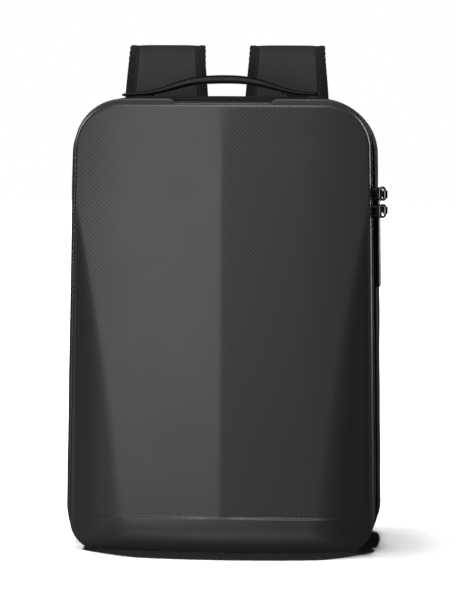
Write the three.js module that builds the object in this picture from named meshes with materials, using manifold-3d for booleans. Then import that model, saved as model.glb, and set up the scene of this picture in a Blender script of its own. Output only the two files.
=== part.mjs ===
// A hard shell backpack standing on its base: a moulded front shell with a centre crease and two folded
// side facets, zipped to a soft rear body with a padded back, two shoulder straps and a top handle.
// Millimetres. X runs to the right, Y to the back and Z up, and the origin is under the rear body.
import * as THREE from "three";
import { mergeVertices } from "three/addons/utils/BufferGeometryUtils.js";
import Module from "manifold-3d";

const wasm = await Module();
wasm.setup();

// Driving dimensions of the case
const CASE_HEIGHT = 450;
const FIT_GAP = 0.3; // clearance between two pieces that touch
const RIM_FRONT_Y = -24; // plane where the front shell ends
const ZIP_BAND = 7.6; // width of the fabric band between the two halves

// Front shell
const SHELL_TOP = 447;
const SHELL_HALF_WIDTH = 154.7; // at the foot
const SHELL_LEAN = 0.0238; // loss of half width for each millimetre of height
const SHELL_TOP_RADIUS = 48;
const SHELL_FOOT_RADIUS = 36.5;
const SHELL_WALL = 2.6;
const CREST_DEPTH = 50; // the crease stands this far ahead of the rim, at the ledge
const CREST_LEAN = 4; // depth that the crease loses evenly up to the top
const CREST_BOW = 14; // depth that it loses more and more towards the top
const RIDGE_SLOPE = 0.085; // fall of each half of the face away from the crease
const CREASE_RADIUS = 2;
const SHOULDER_START = 75; // the face rounds off beyond this distance from the crease
const SHOULDER_DROP = 7;
const LEDGE_HEIGHT = 42; // top of the foot bumper
const LEDGE_STEP = 1.2; // the bumper stands ahead of the crease by this much
const BUMPER_RADIUS = 36;
const BUMPER_BOW = 8; // it bows back by this much at the facet's inner corner
const FACET_TOP = 330; // height where each side facet starts
const FACET_TOP_DEPTH = 20;
const FACET_FOOT_REACH = 108.5; // distance of the facet's inner corner from the crease, at the ledge
const FACET_FOOT_DEPTH = 9; // depth of its outer edge there
const FACET_SOFT_TOP = 1.5; // blend of the facet's inner edge at its top and foot
const FACET_SOFT_FOOT = 12;
const EDGE_FILLET = 4; // round between the face and the wall
const FOOT_FILLET = 0.5;
const SIDE_DRAFT = 1.4; // how far the wall leans in, at the sides and at the top
const TOP_DRAFT = 4;
const BEAD_WIDTH = 5; // rim bead, measured from the rim plane
const BEAD_PROUD = 1.5; // it stands out from the wall by this much
const NOTCH_HALF_WIDTH = 48;
const NOTCH_DEPTH = 4;
const NOTCH_RAMP = 2.5;

// Rear body
const BODY_OVERHANG = 7.7; // the body is wider than the shell by this much on each side, at the foot
const BODY_LEAN = 0.0219;
const BODY_TOP_RADIUS = 57;
const BODY_FOOT_RADIUS = 39;
const BODY_DEPTH = 76;
const BODY_WALL = 3;
const BODY_BACK_RADIUS = 20;
const BODY_LIP_RADIUS = 4.5;
const BODY_BULGE = 4.6; // the sides swell by this much behind the zip
const BODY_TOP_CROWN = 5; // fall of the top from its middle to the width of the case

// Zip
const TAPE_THICKNESS = 1.6;
const TAPE_INSET = 4; // the band lies this far inside the rim
const COIL_HEIGHT = 2.4;
const COIL_WIDTH = 4.6;
const COIL_END_HEIGHT = 30; // the coil stops here on both sides
const SLIDER_MEETING_HEIGHT = 347;
const SLIDER_LENGTH = 13.2;
const SLIDER_SPACING = 3.8; // between the two sliders
const SLIDER_NECK_WIDTH = 6.4;
const SLIDER_PLATE_WIDTH = 10;
const SLIDER_PLATE_THICKNESS = 3.2;
const SLIDER_PLATE_CORNER = 3;
const SLIDER_BITE = 0.5; // overlap of the slider's joined pieces
const SLIDER_RISE = 10.4; // from the coil to the outer face of the plate
const CROWN_BAR_RADIUS = 1.2;
const CROWN_RISE = 3.6; // from the plate to the middle of the bar
const CROWN_POST = 1.8;
const CROWN_WIDTH = 3.2;
const PULL_EYE_CLEARANCE = 0.3;
const PULL_EYE_WALL = 0.9;
const PULL_WIDTH = 7.4;
const PULL_LENGTH = 26;
const PULL_THICKNESS = 1.7;
const PULL_CORNER = 2.4;

// Lock plate, on the right side of the rear body
const LOCK_LENGTH = 98;
const LOCK_WIDTH = 20;
const LOCK_THICKNESS = 2.4;
const LOCK_TOP_HEIGHT = 359.5;
const LOCK_SETBACK = 4.5; // from the front lip of the body
const LOCK_CORNER = 9;
const LOCK_CHAMFER = 0.8;

// Back panel
const PANEL_SETBACK = 35; // from each side of the body
const PANEL_FOOT_HEIGHT = 28;
const PANEL_TOP_HEIGHT = 418;
const PANEL_RADIUS = 38;
const PANEL_EDGE = 4; // thickness at its sewn edge
const PANEL_LOBE = 10.5; // extra thickness of the two padded lobes
const PANEL_CHANNEL = 34; // width of the air channel between them

// Shoulder straps
const STRAP_WIDTH = 78;
const STRAP_THICKNESS = 11;
const STRAP_SPACING = 123; // between the middles of the two straps at the top
const STRAP_RISE = 53; // above the case
const STRAP_END_HEIGHT = 176;
const WEBBING_WIDTH = 25;
const WEBBING_THICKNESS = 1.8;
const WEBBING_END_ANGLE = 54; // degrees round the body's back corner from its side
const BUCKLE_WIDTH = 34;
const BUCKLE_LENGTH = 30;
const BUCKLE_THICKNESS = 5;
const BUCKLE_CORNER = 4;
const BUCKLE_CHAMFER = 0.6;
const BUCKLE_SLOT = 5;
const TAB_HEIGHT = 44;
const TAB_FOOT_HEIGHT = 98;
const TAB_SEAM_ANGLE = 28; // round the same corner
const TAB_THICKNESS = 1.6;

// Carry handle
const HANDLE_REACH = 102.5; // of its left tip from the middle
const HANDLE_RISE = 16.2; // of its middle line above the case
const HANDLE_THICKNESS = 8.6;
const HANDLE_WIDTH = 26;
const HANDLE_Y = 16;
const FOOT_WIDTH = 30;
const FOOT_OVERHANG = 2; // each end of a foot leans out by this much towards the handle

const bodyFootHalfWidth = SHELL_HALF_WIDTH + BODY_OVERHANG;
const bodyFrontY = RIM_FRONT_Y + ZIP_BAND;
const backFaceY = bodyFrontY + BODY_DEPTH;

const mix = THREE.MathUtils.lerp;
const clamp = THREE.MathUtils.clamp;
const smooth = THREE.MathUtils.smoothstep;
const radians = THREE.MathUtils.degToRad;
const point = (x, y, z) => new THREE.Vector3(x, y, z);

// The lesser of two depths, with the corner between them rounded off over a length.
function softMin(a, b, length) {
  const overlap = Math.max(length - Math.abs(a - b), 0) / length;
  return Math.min(a, b) - (overlap * overlap * length) / 4;
}

// Turns a list of corner points and triangles into a geometry whose faces point outwards.
function geometryFrom(points, triangles) {
  const positions = new Float32Array(points.flatMap((p) => [p.x, p.y, p.z]));
  let volume = 0;
  const cross = new THREE.Vector3();
  for (const [a, b, c] of triangles) {
    volume += cross.crossVectors(points[a], points[b]).dot(points[c]);
  }
  const faces = volume < 0 ? triangles.map(([a, b, c]) => [a, c, b]) : triangles;
  const geometry = new THREE.BufferGeometry();
  geometry.setAttribute("position", new THREE.BufferAttribute(positions, 3));
  geometry.setIndex(faces.flat());
  geometry.computeVertexNormals();
  return geometry;
}

// Joins two neighbouring rings of points, given by their indices, with a closed strip of triangles.
function strip(near, far, triangles) {
  near.forEach((a, i) => {
    const next = (i + 1) % near.length;
    triangles.push([a, near[next], far[next]], [a, far[next], far[i]]);
  });
}

// A solid lofted through rings of points, with a flat cap on each end.
function loft(rings) {
  const points = rings.flat();
  const size = rings[0].length;
  const indices = rings.map((ring, k) => ring.map((_, i) => k * size + i));
  const triangles = [];
  for (let k = 0; k + 1 < rings.length; k++) strip(indices[k], indices[k + 1], triangles);
  const last = indices.length - 1;
  for (let i = 1; i + 1 < size; i++) {
    triangles.push([indices[0][0], indices[0][i + 1], indices[0][i]]);
    triangles.push([indices[last][0], indices[last][i], indices[last][i + 1]]);
  }
  return geometryFrom(points, triangles);
}

// A ring-shaped solid lofted through rings of points, whose last ring joins the first.
function loop(rings) {
  const points = rings.flat();
  const size = rings[0].length;
  const indices = rings.map((ring, k) => ring.map((_, i) => k * size + i));
  const triangles = [];
  indices.forEach((ring, k) => strip(ring, indices[(k + 1) % indices.length], triangles));
  return geometryFrom(points, triangles);
}

// The rows of a rounded outline, from its foot to its top. Each row knows how wide and how high the
// outline is there at any inset, and which way its edge faces: up is 1 at the top and -1 at the foot.
// Between the two round ends there are even steps and the given stops.
function outlineRows({ foot, top, halfWidth, footRadius, topRadius, ...rest }) {
  const { footAngles, topAngles, steps, stops = [] } = rest;
  const footCentre = foot + footRadius;
  const topCentre = top - topRadius;
  const arcRow = (angle, centre, radius, side) => ({
    up: side * Math.sin(radians(angle)),
    half: (inset) => halfWidth(centre) - radius + (radius - inset) * Math.cos(radians(angle)),
    height: (inset) => centre + side * (radius - inset) * Math.sin(radians(angle)),
  });
  const sideRow = (height) => ({
    up: 0,
    half: (inset) => halfWidth(height) - inset,
    height: () => height,
  });
  const heights = [...stops];
  for (let i = 1; i < steps; i++) heights.push(mix(footCentre, topCentre, i / steps));
  const sides = heights.sort((a, b) => a - b).map(sideRow);
  return [
    ...footAngles.map((angle) => arcRow(angle, footCentre, footRadius, -1)),
    ...sides,
    ...topAngles.map((angle) => arcRow(angle, topCentre, topRadius, 1)),
  ];
}

// The places round the edge of a grid of rows and columns, counter-clockwise from its foot.
function edgePlaces(rows, columns) {
  const last = rows.length - 1;
  const end = columns.length - 1;
  const places = columns.map((_, c) => [0, c]);
  for (let r = 1; r < last; r++) places.push([r, end]);
  for (let c = end; c >= 0; c--) places.push([last, c]);
  for (let r = last - 1; r > 0; r--) places.push([r, 0]);
  return places;
}

// One closed surface made of a face on a grid, rings round its edge, and a second face on the same grid.
// faceInset gives each row's inset, place turns (x, z, depth) into a point, and each ring gives the inset
// and the depth for a row, for the x there and for the depth that the face has at its edge.
function trayFrom({ rows, columns, place, face, faceInset, rings, lining, liningInset }) {
  const points = [];
  const triangles = [];
  const spot = (row, column, inset) => [columns[column] * row.half(inset), row.height(inset)];
  const gridOf = (depthAt, insetAt) =>
    rows.map((row) =>
      columns.map((_, column) => {
        const [x, z] = spot(row, column, insetAt(row));
        return points.push(place(x, z, depthAt(x, z))) - 1;
      }),
    );
  const places = edgePlaces(rows, columns);
  const edgeOf = (grid) => places.map(([r, c]) => grid[r][c]);
  const fill = (grid, turned) => {
    for (let r = 0; r + 1 < rows.length; r++) {
      for (let c = 0; c + 1 < columns.length; c++) {
        const [a, b] = [grid[r][c], grid[r][c + 1]];
        const [d, e] = [grid[r + 1][c], grid[r + 1][c + 1]];
        if (turned) triangles.push([a, e, b], [a, d, e]);
        else triangles.push([a, b, e], [a, e, d]);
      }
    }
  };
  const outer = gridOf(face, faceInset);
  const inner = gridOf(lining, liningInset);
  const edges = [edgeOf(outer)];
  for (const ring of rings) {
    edges.push(
      places.map(([r, c]) => {
        const row = rows[r];
        const [faceX, faceZ] = spot(row, c, faceInset(row));
        const { inset, depth } = ring(row, faceX, face(faceX, faceZ));
        const [x, z] = spot(row, c, inset);
        return points.push(place(x, z, depth)) - 1;
      }),
    );
  }
  edges.push(edgeOf(inner));
  fill(outer, false);
  for (let k = 0; k + 1 < edges.length; k++) strip(edges[k + 1], edges[k], triangles);
  fill(inner, true);
  return geometryFrom(points, triangles);
}

// A geometry as a solid for joining and cutting, and back.
function solidOf(geometry, matrix = new THREE.Matrix4()) {
  const bare = geometry.clone().applyMatrix4(matrix);
  bare.deleteAttribute("normal");
  bare.deleteAttribute("uv");
  const merged = mergeVertices(bare, 1e-4);
  const vertProperties = new Float32Array(merged.attributes.position.array);
  const triVerts = new Uint32Array(merged.index.array);
  return new wasm.Manifold(new wasm.Mesh({ numProp: 3, vertProperties, triVerts }));
}

function geometryOf(solid) {
  const mesh = solid.getMesh();
  const geometry = new THREE.BufferGeometry();
  geometry.setAttribute("position", new THREE.BufferAttribute(mesh.vertProperties, 3));
  geometry.setIndex(new THREE.BufferAttribute(mesh.triVerts, 1));
  geometry.computeVertexNormals();
  return geometry;
}

// A rectangle with round corners, centred on the origin.
function roundedRectangle(width, height, radius, Kind = THREE.Shape) {
  const [w, h] = [width / 2, height / 2];
  const shape = new Kind();
  shape.moveTo(-w + radius, -h);
  shape.lineTo(w - radius, -h);
  shape.absarc(w - radius, -h + radius, radius, -Math.PI / 2, 0);
  shape.lineTo(w, h - radius);
  shape.absarc(w - radius, h - radius, radius, 0, Math.PI / 2);
  shape.lineTo(-w + radius, h);
  shape.absarc(-w + radius, h - radius, radius, Math.PI / 2, Math.PI);
  shape.lineTo(-w, -h + radius);
  shape.absarc(-w + radius, -h + radius, radius, Math.PI, Math.PI * 1.5);
  return shape;
}

const finish = (color, roughness, metalness = 0) =>
  new THREE.MeshStandardMaterial({ color, roughness, metalness });
const shellPlastic = finish(0x3a3a3c, 0.5);
const bodyFabric = finish(0x2c2d2f, 0.85);
const zipFabric = finish(0x121214, 0.9);
const strapFabric = finish(0x4a4a4c, 0.85);
const webbingWeave = finish(0x1d1d1f, 0.8);
const handleRubber = finish(0x333335, 0.45);
const darkMetal = finish(0x77777a, 0.35, 1);
const trimPlastic = finish(0x18181a, 0.5);

const model = new THREE.Group();

function add(name, geometry, material, parent = model) {
  const mesh = new THREE.Mesh(geometry, material);
  mesh.name = name;
  parent.add(mesh);
  return mesh;
}

const shellHalfWidth = (z) => SHELL_HALF_WIDTH - SHELL_LEAN * z;
const bodyHalfWidth = (z) => bodyFootHalfWidth - BODY_LEAN * z;

// Depth of the shell's face ahead of the rim plane. The crease leans and bows back towards the top, each
// half falls away from it and rounds off at the shoulder, and a flat facet cuts each side below
// FACET_TOP. Under the ledge the bumper bows gently across and rounds down to the foot.
const shieldAt = (x, z) => {
  const up = clamp((z - LEDGE_HEIGHT) / (SHELL_TOP - LEDGE_HEIGHT), 0, 1);
  const crest = CREST_DEPTH - CREST_LEAN * up - CREST_BOW * up * up;
  const ridge = Math.hypot(x, CREASE_RADIUS) - CREASE_RADIUS;
  const beyond = Math.max(0, Math.abs(x) - SHOULDER_START) / (SHELL_HALF_WIDTH - SHOULDER_START);
  return crest - RIDGE_SLOPE * ridge - SHOULDER_DROP * beyond * beyond * up;
};
const facetInnerDepth = shieldAt(FACET_FOOT_REACH, LEDGE_HEIGHT);
const facetSlope =
  (facetInnerDepth - FACET_FOOT_DEPTH) / (shellHalfWidth(LEDGE_HEIGHT) - FACET_FOOT_REACH);
const facetRise =
  (FACET_TOP_DEPTH -
    FACET_FOOT_DEPTH -
    facetSlope * (shellHalfWidth(LEDGE_HEIGHT) - shellHalfWidth(FACET_TOP))) /
  (FACET_TOP - LEDGE_HEIGHT);
const facetAt = (x, z) =>
  FACET_FOOT_DEPTH +
  facetSlope * (shellHalfWidth(LEDGE_HEIGHT) - Math.abs(x)) +
  facetRise * (z - LEDGE_HEIGHT);
const bumperAt = (x, z) => {
  const fall = clamp(BUMPER_RADIUS - z, 0, BUMPER_RADIUS);
  const round = Math.sqrt(BUMPER_RADIUS ** 2 - fall ** 2) - BUMPER_RADIUS;
  return CREST_DEPTH + LEDGE_STEP - BUMPER_BOW * (x / FACET_FOOT_REACH) ** 2 + round;
};
function shellDepth(x, z) {
  const face = z < LEDGE_HEIGHT ? bumperAt(x, z) : shieldAt(x, z);
  const up = clamp((z - LEDGE_HEIGHT) / (FACET_TOP - LEDGE_HEIGHT), 0, 1);
  const depth = softMin(face, facetAt(x, z), mix(FACET_SOFT_FOOT, FACET_SOFT_TOP, up));
  return Math.max(depth, BEAD_WIDTH + 1);
}

// Moulded front shell
function frontShell() {
  const rows = outlineRows({
    foot: 0,
    top: SHELL_TOP,
    halfWidth: shellHalfWidth,
    footRadius: SHELL_FOOT_RADIUS,
    topRadius: SHELL_TOP_RADIUS,
    footAngles: [90, 68, 50, 35, 20, 0],
    topAngles: [0, 22, 45, 68, 90],
    steps: 12,
    stops: [LEDGE_HEIGHT - 0.4, LEDGE_HEIGHT + 0.2],
  });
  const edgeHalf = rows[rows.length - 1].half(0);
  const half = [
    0.05,
    0.25,
    NOTCH_HALF_WIDTH / edgeHalf,
    (NOTCH_HALF_WIDTH + NOTCH_RAMP) / edgeHalf,
    0.66,
    0.76,
    0.84,
    0.91,
    0.96,
    1,
  ];
  const columns = [...half.map((share) => -share).reverse(), 0, ...half];
  const footward = (row) => clamp(-row.up * 2, 0, 1);
  const draft = (row) => mix(SIDE_DRAFT, TOP_DRAFT, Math.max(0, row.up) ** 2) * (1 - footward(row));
  const fillet = (row) => mix(EDGE_FILLET, FOOT_FILLET, footward(row));
  const proud = (row) => BEAD_PROUD * (1 - footward(row));
  const rimDip = (x, row) => (row.up === 1 && Math.abs(x) <= NOTCH_HALF_WIDTH ? NOTCH_DEPTH : 0);
  const wallInset = (row) => proud(row) + draft(row);
  const round = (row, depth) => Math.min(fillet(row), (depth - BEAD_WIDTH) * 0.6);
  const bevel = Math.sin(Math.PI / 4);
  const geometry = trayFrom({
    rows,
    columns,
    place: (x, z, depth) => point(x, RIM_FRONT_Y - depth, z),
    face: shellDepth,
    faceInset: (row) => wallInset(row) + fillet(row),
    rings: [
      (row, x, depth) => ({
        inset: wallInset(row) + fillet(row) * (1 - bevel),
        depth: depth - round(row, depth) * (1 - bevel),
      }),
      (row, x, depth) => ({ inset: wallInset(row), depth: depth - round(row, depth) }),
      (row, x) => ({ inset: proud(row) + rimDip(x, row), depth: BEAD_WIDTH }),
      (row, x) => ({ inset: rimDip(x, row), depth: BEAD_WIDTH - BEAD_PROUD }),
      (row, x) => ({ inset: rimDip(x, row), depth: BEAD_PROUD }),
      (row, x) => ({ inset: proud(row) + rimDip(x, row), depth: 0 }),
      (row, x) => ({ inset: BEAD_PROUD + SHELL_WALL + rimDip(x, row), depth: 0 }),
      (row, x, depth) => ({
        inset: Math.max(wallInset(row) + SHELL_WALL, BEAD_PROUD + SHELL_WALL + rimDip(x, row)),
        depth: Math.max(depth - SHELL_WALL - round(row, depth), BEAD_PROUD),
      }),
    ],
    lining: (x, z) => {
      const lowered = z - SHELL_WALL * (1 - smooth(z, 0, SHELL_FOOT_RADIUS));
      return shellDepth(x, Math.max(lowered, 0)) - SHELL_WALL;
    },
    liningInset: (row) => wallInset(row) + SHELL_WALL + fillet(row) * 0.6,
  });
  add("front_shell", geometry, shellPlastic);
}

// The body's top falls away from its middle to both sides.
const topFall = (x, z) =>
  BODY_TOP_CROWN *
  (x / bodyFootHalfWidth) ** 2 *
  smooth(z, CASE_HEIGHT - BODY_TOP_RADIUS * 1.5, CASE_HEIGHT);
// Swelling of the body's sides: share of BODY_BULGE still missing at a share of the body's depth.
const bulgeTable = [
  { back: 0, missing: 1 },
  { back: 0.06, missing: 0.96 },
  { back: 0.16, missing: 0.76 },
  { back: 0.32, missing: 0.33 },
  { back: 0.5, missing: 0.04 },
  { back: 0.63, missing: 0 },
];
function missingBulge(depth) {
  const share = depth / BODY_DEPTH;
  const next = bulgeTable.findIndex((entry) => entry.back >= share);
  if (next < 1) return next === 0 ? BODY_BULGE : 0;
  const [a, b] = [bulgeTable[next - 1], bulgeTable[next]];
  return BODY_BULGE * mix(a.missing, b.missing, (share - a.back) / (b.back - a.back));
}

const bodyRows = (footAngles, topAngles, steps) =>
  outlineRows({
    foot: 0,
    top: CASE_HEIGHT,
    halfWidth: bodyHalfWidth,
    footRadius: BODY_FOOT_RADIUS,
    topRadius: BODY_TOP_RADIUS,
    footAngles,
    topAngles,
    steps,
  });

// Soft rear body, a hollow tray of padded fabric that opens to the front
function rearBody() {
  const side = (row) => Math.sqrt(1 - row.up * row.up);
  const lip = (row, depth) => missingBulge(depth) * side(row);
  const bend = (angle) => BODY_BACK_RADIUS * (1 - Math.sin(radians(angle)));
  const backRing = (angle) => () => ({
    inset: bend(angle),
    depth: BODY_DEPTH - BODY_BACK_RADIUS * (1 - Math.cos(radians(angle))),
  });
  const sideRing = (depth) => (row) => ({ inset: lip(row, depth), depth });
  const round = 1 - Math.sin(Math.PI / 4);
  const geometry = trayFrom({
    rows: bodyRows([90, 60, 30, 0], [0, 22, 45, 67, 90], 7),
    columns: [-1, -0.75, -0.5, -0.25, 0, 0.25, 0.5, 0.75, 1],
    place: (x, z, depth) => point(x, bodyFrontY + depth, z - topFall(x, z)),
    face: () => BODY_DEPTH,
    faceInset: () => BODY_BACK_RADIUS,
    rings: [
      backRing(35),
      backRing(65),
      sideRing(BODY_DEPTH - BODY_BACK_RADIUS),
      sideRing(BODY_DEPTH * 0.5),
      sideRing(BODY_DEPTH * 0.32),
      sideRing(BODY_DEPTH * 0.16),
      sideRing(BODY_LIP_RADIUS),
      (row) => ({ inset: lip(row, 0) + BODY_LIP_RADIUS * round, depth: BODY_LIP_RADIUS * round }),
      (row) => ({ inset: lip(row, 0) + BODY_LIP_RADIUS, depth: 0 }),
      (row) => ({ inset: lip(row, 0) + BODY_LIP_RADIUS + BODY_WALL, depth: 0 }),
      () => ({ inset: BODY_BULGE + BODY_LIP_RADIUS + BODY_WALL, depth: BODY_LIP_RADIUS }),
      () => ({ inset: BODY_WALL + BODY_BULGE, depth: BODY_LIP_RADIUS * 3 }),
      () => ({ inset: BODY_WALL + 1, depth: BODY_DEPTH - BODY_BACK_RADIUS }),
    ],
    lining: () => BODY_DEPTH - BODY_WALL,
    liningInset: () => BODY_BACK_RADIUS,
  });
  add("rear_body", geometry, bodyFabric);
}

// Points round the rim of the shell at an inset, as one closed line in the plane y.
function rimLine(rows, columns, inset, y) {
  return edgePlaces(rows, columns).map(([r, c]) =>
    point(columns[c] * rows[r].half(inset), y, rows[r].height(inset)),
  );
}

const rimRows = (steps) =>
  outlineRows({
    foot: 0,
    top: SHELL_TOP,
    halfWidth: shellHalfWidth,
    footRadius: SHELL_FOOT_RADIUS,
    topRadius: SHELL_TOP_RADIUS,
    footAngles: [90, 60, 30, 0],
    topAngles: [0, 22, 45, 67, 90],
    steps,
  });

// Fabric band between the two halves, set back from the rim
function zipTape() {
  const rows = rimRows(7);
  const columns = [-1, -0.5, 0, 0.5, 1];
  const front = RIM_FRONT_Y + FIT_GAP;
  const back = bodyFrontY - FIT_GAP;
  const deep = TAPE_INSET + TAPE_THICKNESS;
  add(
    "zip_tape",
    loop([
      rimLine(rows, columns, TAPE_INSET, front),
      rimLine(rows, columns, TAPE_INSET, back),
      rimLine(rows, columns, deep, back),
      rimLine(rows, columns, deep, front),
    ]),
    zipFabric,
  );
}

// Coil of the zip, laid on the band from low on the left side over the top to low on the right
function zipCoil() {
  const rows = rimRows(7).filter((row) => row.height(0) > COIL_END_HEIGHT && row.up >= 0);
  const columns = [-1, -0.5, 0, 0.5, 1];
  const middle = (RIM_FRONT_Y + bodyFrontY) / 2;
  const path = edgePlaces(rows, columns).slice(columns.length - 1);
  path.push([0, 0]);
  const section = [
    { along: -0.5, out: 0.2 },
    { along: -0.3, out: 0.8 },
    { along: 0, out: 1 },
    { along: 0.3, out: 0.8 },
    { along: 0.5, out: 0.2 },
    { along: 0, out: 0 },
  ];
  const rings = path.map(([r, c]) =>
    section.map(({ along, out }) => {
      const inset = TAPE_INSET - FIT_GAP - COIL_HEIGHT * out;
      const row = rows[r];
      return point(columns[c] * row.half(inset), middle + COIL_WIDTH * along, row.height(inset));
    }),
  );
  add("zip_coil", loft(rings), zipFabric);
}

const coilOuterX = (z) => shellHalfWidth(z) - TAPE_INSET + FIT_GAP + COIL_HEIGHT;
const zipY = (RIM_FRONT_Y + bodyFrontY) / 2;

// A slider: a neck over the coil, a plate, and a crown whose bar runs along the zip. sense is 1 for the
// upper slider and -1 for the lower one.
function slider(name, sense) {
  const middle = SLIDER_MEETING_HEIGHT + (sense * (SLIDER_LENGTH + SLIDER_SPACING)) / 2;
  const base = coilOuterX(middle - SLIDER_LENGTH / 2) + FIT_GAP;
  const plateOuter = coilOuterX(middle) + SLIDER_RISE;
  const plateInner = plateOuter - SLIDER_PLATE_THICKNESS;
  const barX = plateOuter + CROWN_RISE;
  const block = (width, depth, length, x, z = 0) =>
    solidOf(new THREE.BoxGeometry(width, depth, length), new THREE.Matrix4().makeTranslation(x, 0, z));
  const plateOutline = roundedRectangle(SLIDER_PLATE_WIDTH, SLIDER_LENGTH, SLIDER_PLATE_CORNER);
  const plate = new THREE.ExtrudeGeometry(plateOutline, {
    depth: SLIDER_PLATE_THICKNESS - 2 * SLIDER_BITE,
    bevelThickness: SLIDER_BITE,
    bevelSize: SLIDER_BITE,
    bevelOffset: -SLIDER_BITE,
    bevelSegments: 1,
    curveSegments: 3,
  });
  const onSide = new THREE.Matrix4().makeBasis(point(0, 1, 0), point(0, 0, 1), point(1, 0, 0));
  onSide.setPosition(plateInner + SLIDER_BITE, 0, 0);
  const bar = new THREE.CylinderGeometry(CROWN_BAR_RADIUS, CROWN_BAR_RADIUS, SLIDER_LENGTH, 12);
  bar.rotateX(Math.PI / 2).translate(barX, 0, 0);
  const postHeight = CROWN_RISE + CROWN_BAR_RADIUS + SLIDER_BITE;
  const postX = plateOuter - SLIDER_BITE + postHeight / 2;
  const postZ = (SLIDER_LENGTH - CROWN_POST) / 2;
  const neckTop = plateInner + 2 * SLIDER_BITE;
  const neck = block(neckTop - base, SLIDER_NECK_WIDTH, SLIDER_LENGTH - 2, (neckTop + base) / 2);
  const solid = neck
    .add(solidOf(plate, onSide))
    .add(solidOf(bar))
    .add(block(postHeight, CROWN_WIDTH, CROWN_POST, postX, postZ))
    .add(block(postHeight, CROWN_WIDTH, CROWN_POST, postX, -postZ));
  add(name, geometryOf(solid), darkMetal).position.set(0, zipY, middle);
  return { barX, middle };
}

// A pull: an eye round the crown's bar and a flat tab that lies back over the lock plate. It hangs at
// the end of the bar nearest to the other slider.
function pull(name, sense, { barX, middle }) {
  const outer = CROWN_BAR_RADIUS + PULL_EYE_CLEARANCE + PULL_EYE_WALL;
  const eyeShape = new THREE.Shape().absarc(0, 0, outer, 0, Math.PI * 2);
  eyeShape.holes.push(new THREE.Path().absarc(0, 0, outer - PULL_EYE_WALL, 0, Math.PI * 2));
  const flat = { bevelEnabled: false, curveSegments: 14 };
  const eye = new THREE.ExtrudeGeometry(eyeShape, { depth: PULL_WIDTH, ...flat });
  eye.translate(0, 0, -PULL_WIDTH / 2);
  const tabLength = PULL_LENGTH - outer;
  const tab = new THREE.ExtrudeGeometry(roundedRectangle(tabLength + 1, PULL_WIDTH, PULL_CORNER), {
    depth: PULL_THICKNESS,
    bevelEnabled: false,
    curveSegments: 4,
  });
  const onSide = new THREE.Matrix4().makeBasis(point(0, 1, 0), point(0, 0, 1), point(1, 0, 0));
  onSide.setPosition(-PULL_THICKNESS / 2, outer - 1 + (tabLength + 1) / 2, 0);
  const bore = new THREE.CylinderGeometry(outer - PULL_EYE_WALL, outer - PULL_EYE_WALL, PULL_WIDTH + 2, 28);
  bore.rotateX(Math.PI / 2);
  const solid = solidOf(eye).add(solidOf(tab, onSide)).subtract(solidOf(bore));
  const rest = add(name, geometryOf(solid), darkMetal);
  const slack = SLIDER_LENGTH / 2 - CROWN_POST - PULL_WIDTH / 2 - FIT_GAP;
  rest.position.set(barX, zipY, middle - sense * slack);
  rest.rotation.z = pullTilt(barX, middle - sense * slack);
}

const lockFrontY = bodyFrontY + LOCK_SETBACK;
const lockFoot = LOCK_TOP_HEIGHT - LOCK_LENGTH;
const bodySideX = (y, z) => bodyHalfWidth(z) - missingBulge(y - bodyFrontY);
const lockInnerX = (y, z) => bodySideX(y, z) + FIT_GAP;

// A pull whose middle is at a height tilts in until its tip lies on the lock plate.
function pullTilt(barX, middle) {
  const tipY = Math.min(zipY + PULL_LENGTH, lockFrontY + LOCK_WIDTH);
  const plateX = lockInnerX(tipY, middle - PULL_WIDTH / 2) + LOCK_THICKNESS;
  return Math.asin((barX - plateX - 2 * FIT_GAP - PULL_THICKNESS / 2) / PULL_LENGTH);
}

// Plain lock plate that follows the side of the body
function lockPlate() {
  const rings = [];
  const steps = 8;
  for (let i = 0; i <= steps; i++) {
    const y = lockFrontY + (LOCK_WIDTH * i) / steps;
    const fromEdge = Math.min(y - lockFrontY, lockFrontY + LOCK_WIDTH - y);
    const short = Math.max(LOCK_CORNER - fromEdge - LOCK_CHAMFER / 2, 0);
    const cut = LOCK_CORNER - Math.sqrt(LOCK_CORNER ** 2 - short ** 2);
    const thickness = LOCK_THICKNESS - (i === 0 || i === steps ? LOCK_CHAMFER : 0);
    const corner = (z, out) => point(lockInnerX(y, z) + out, y, z);
    rings.push([
      corner(lockFoot + cut, 0),
      corner(lockFoot + cut + LOCK_CHAMFER, thickness),
      corner(LOCK_TOP_HEIGHT - cut - LOCK_CHAMFER, thickness),
      corner(LOCK_TOP_HEIGHT - cut, 0),
    ]);
  }
  add("lock_plate", loft(rings), trimPlastic);
}

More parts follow.
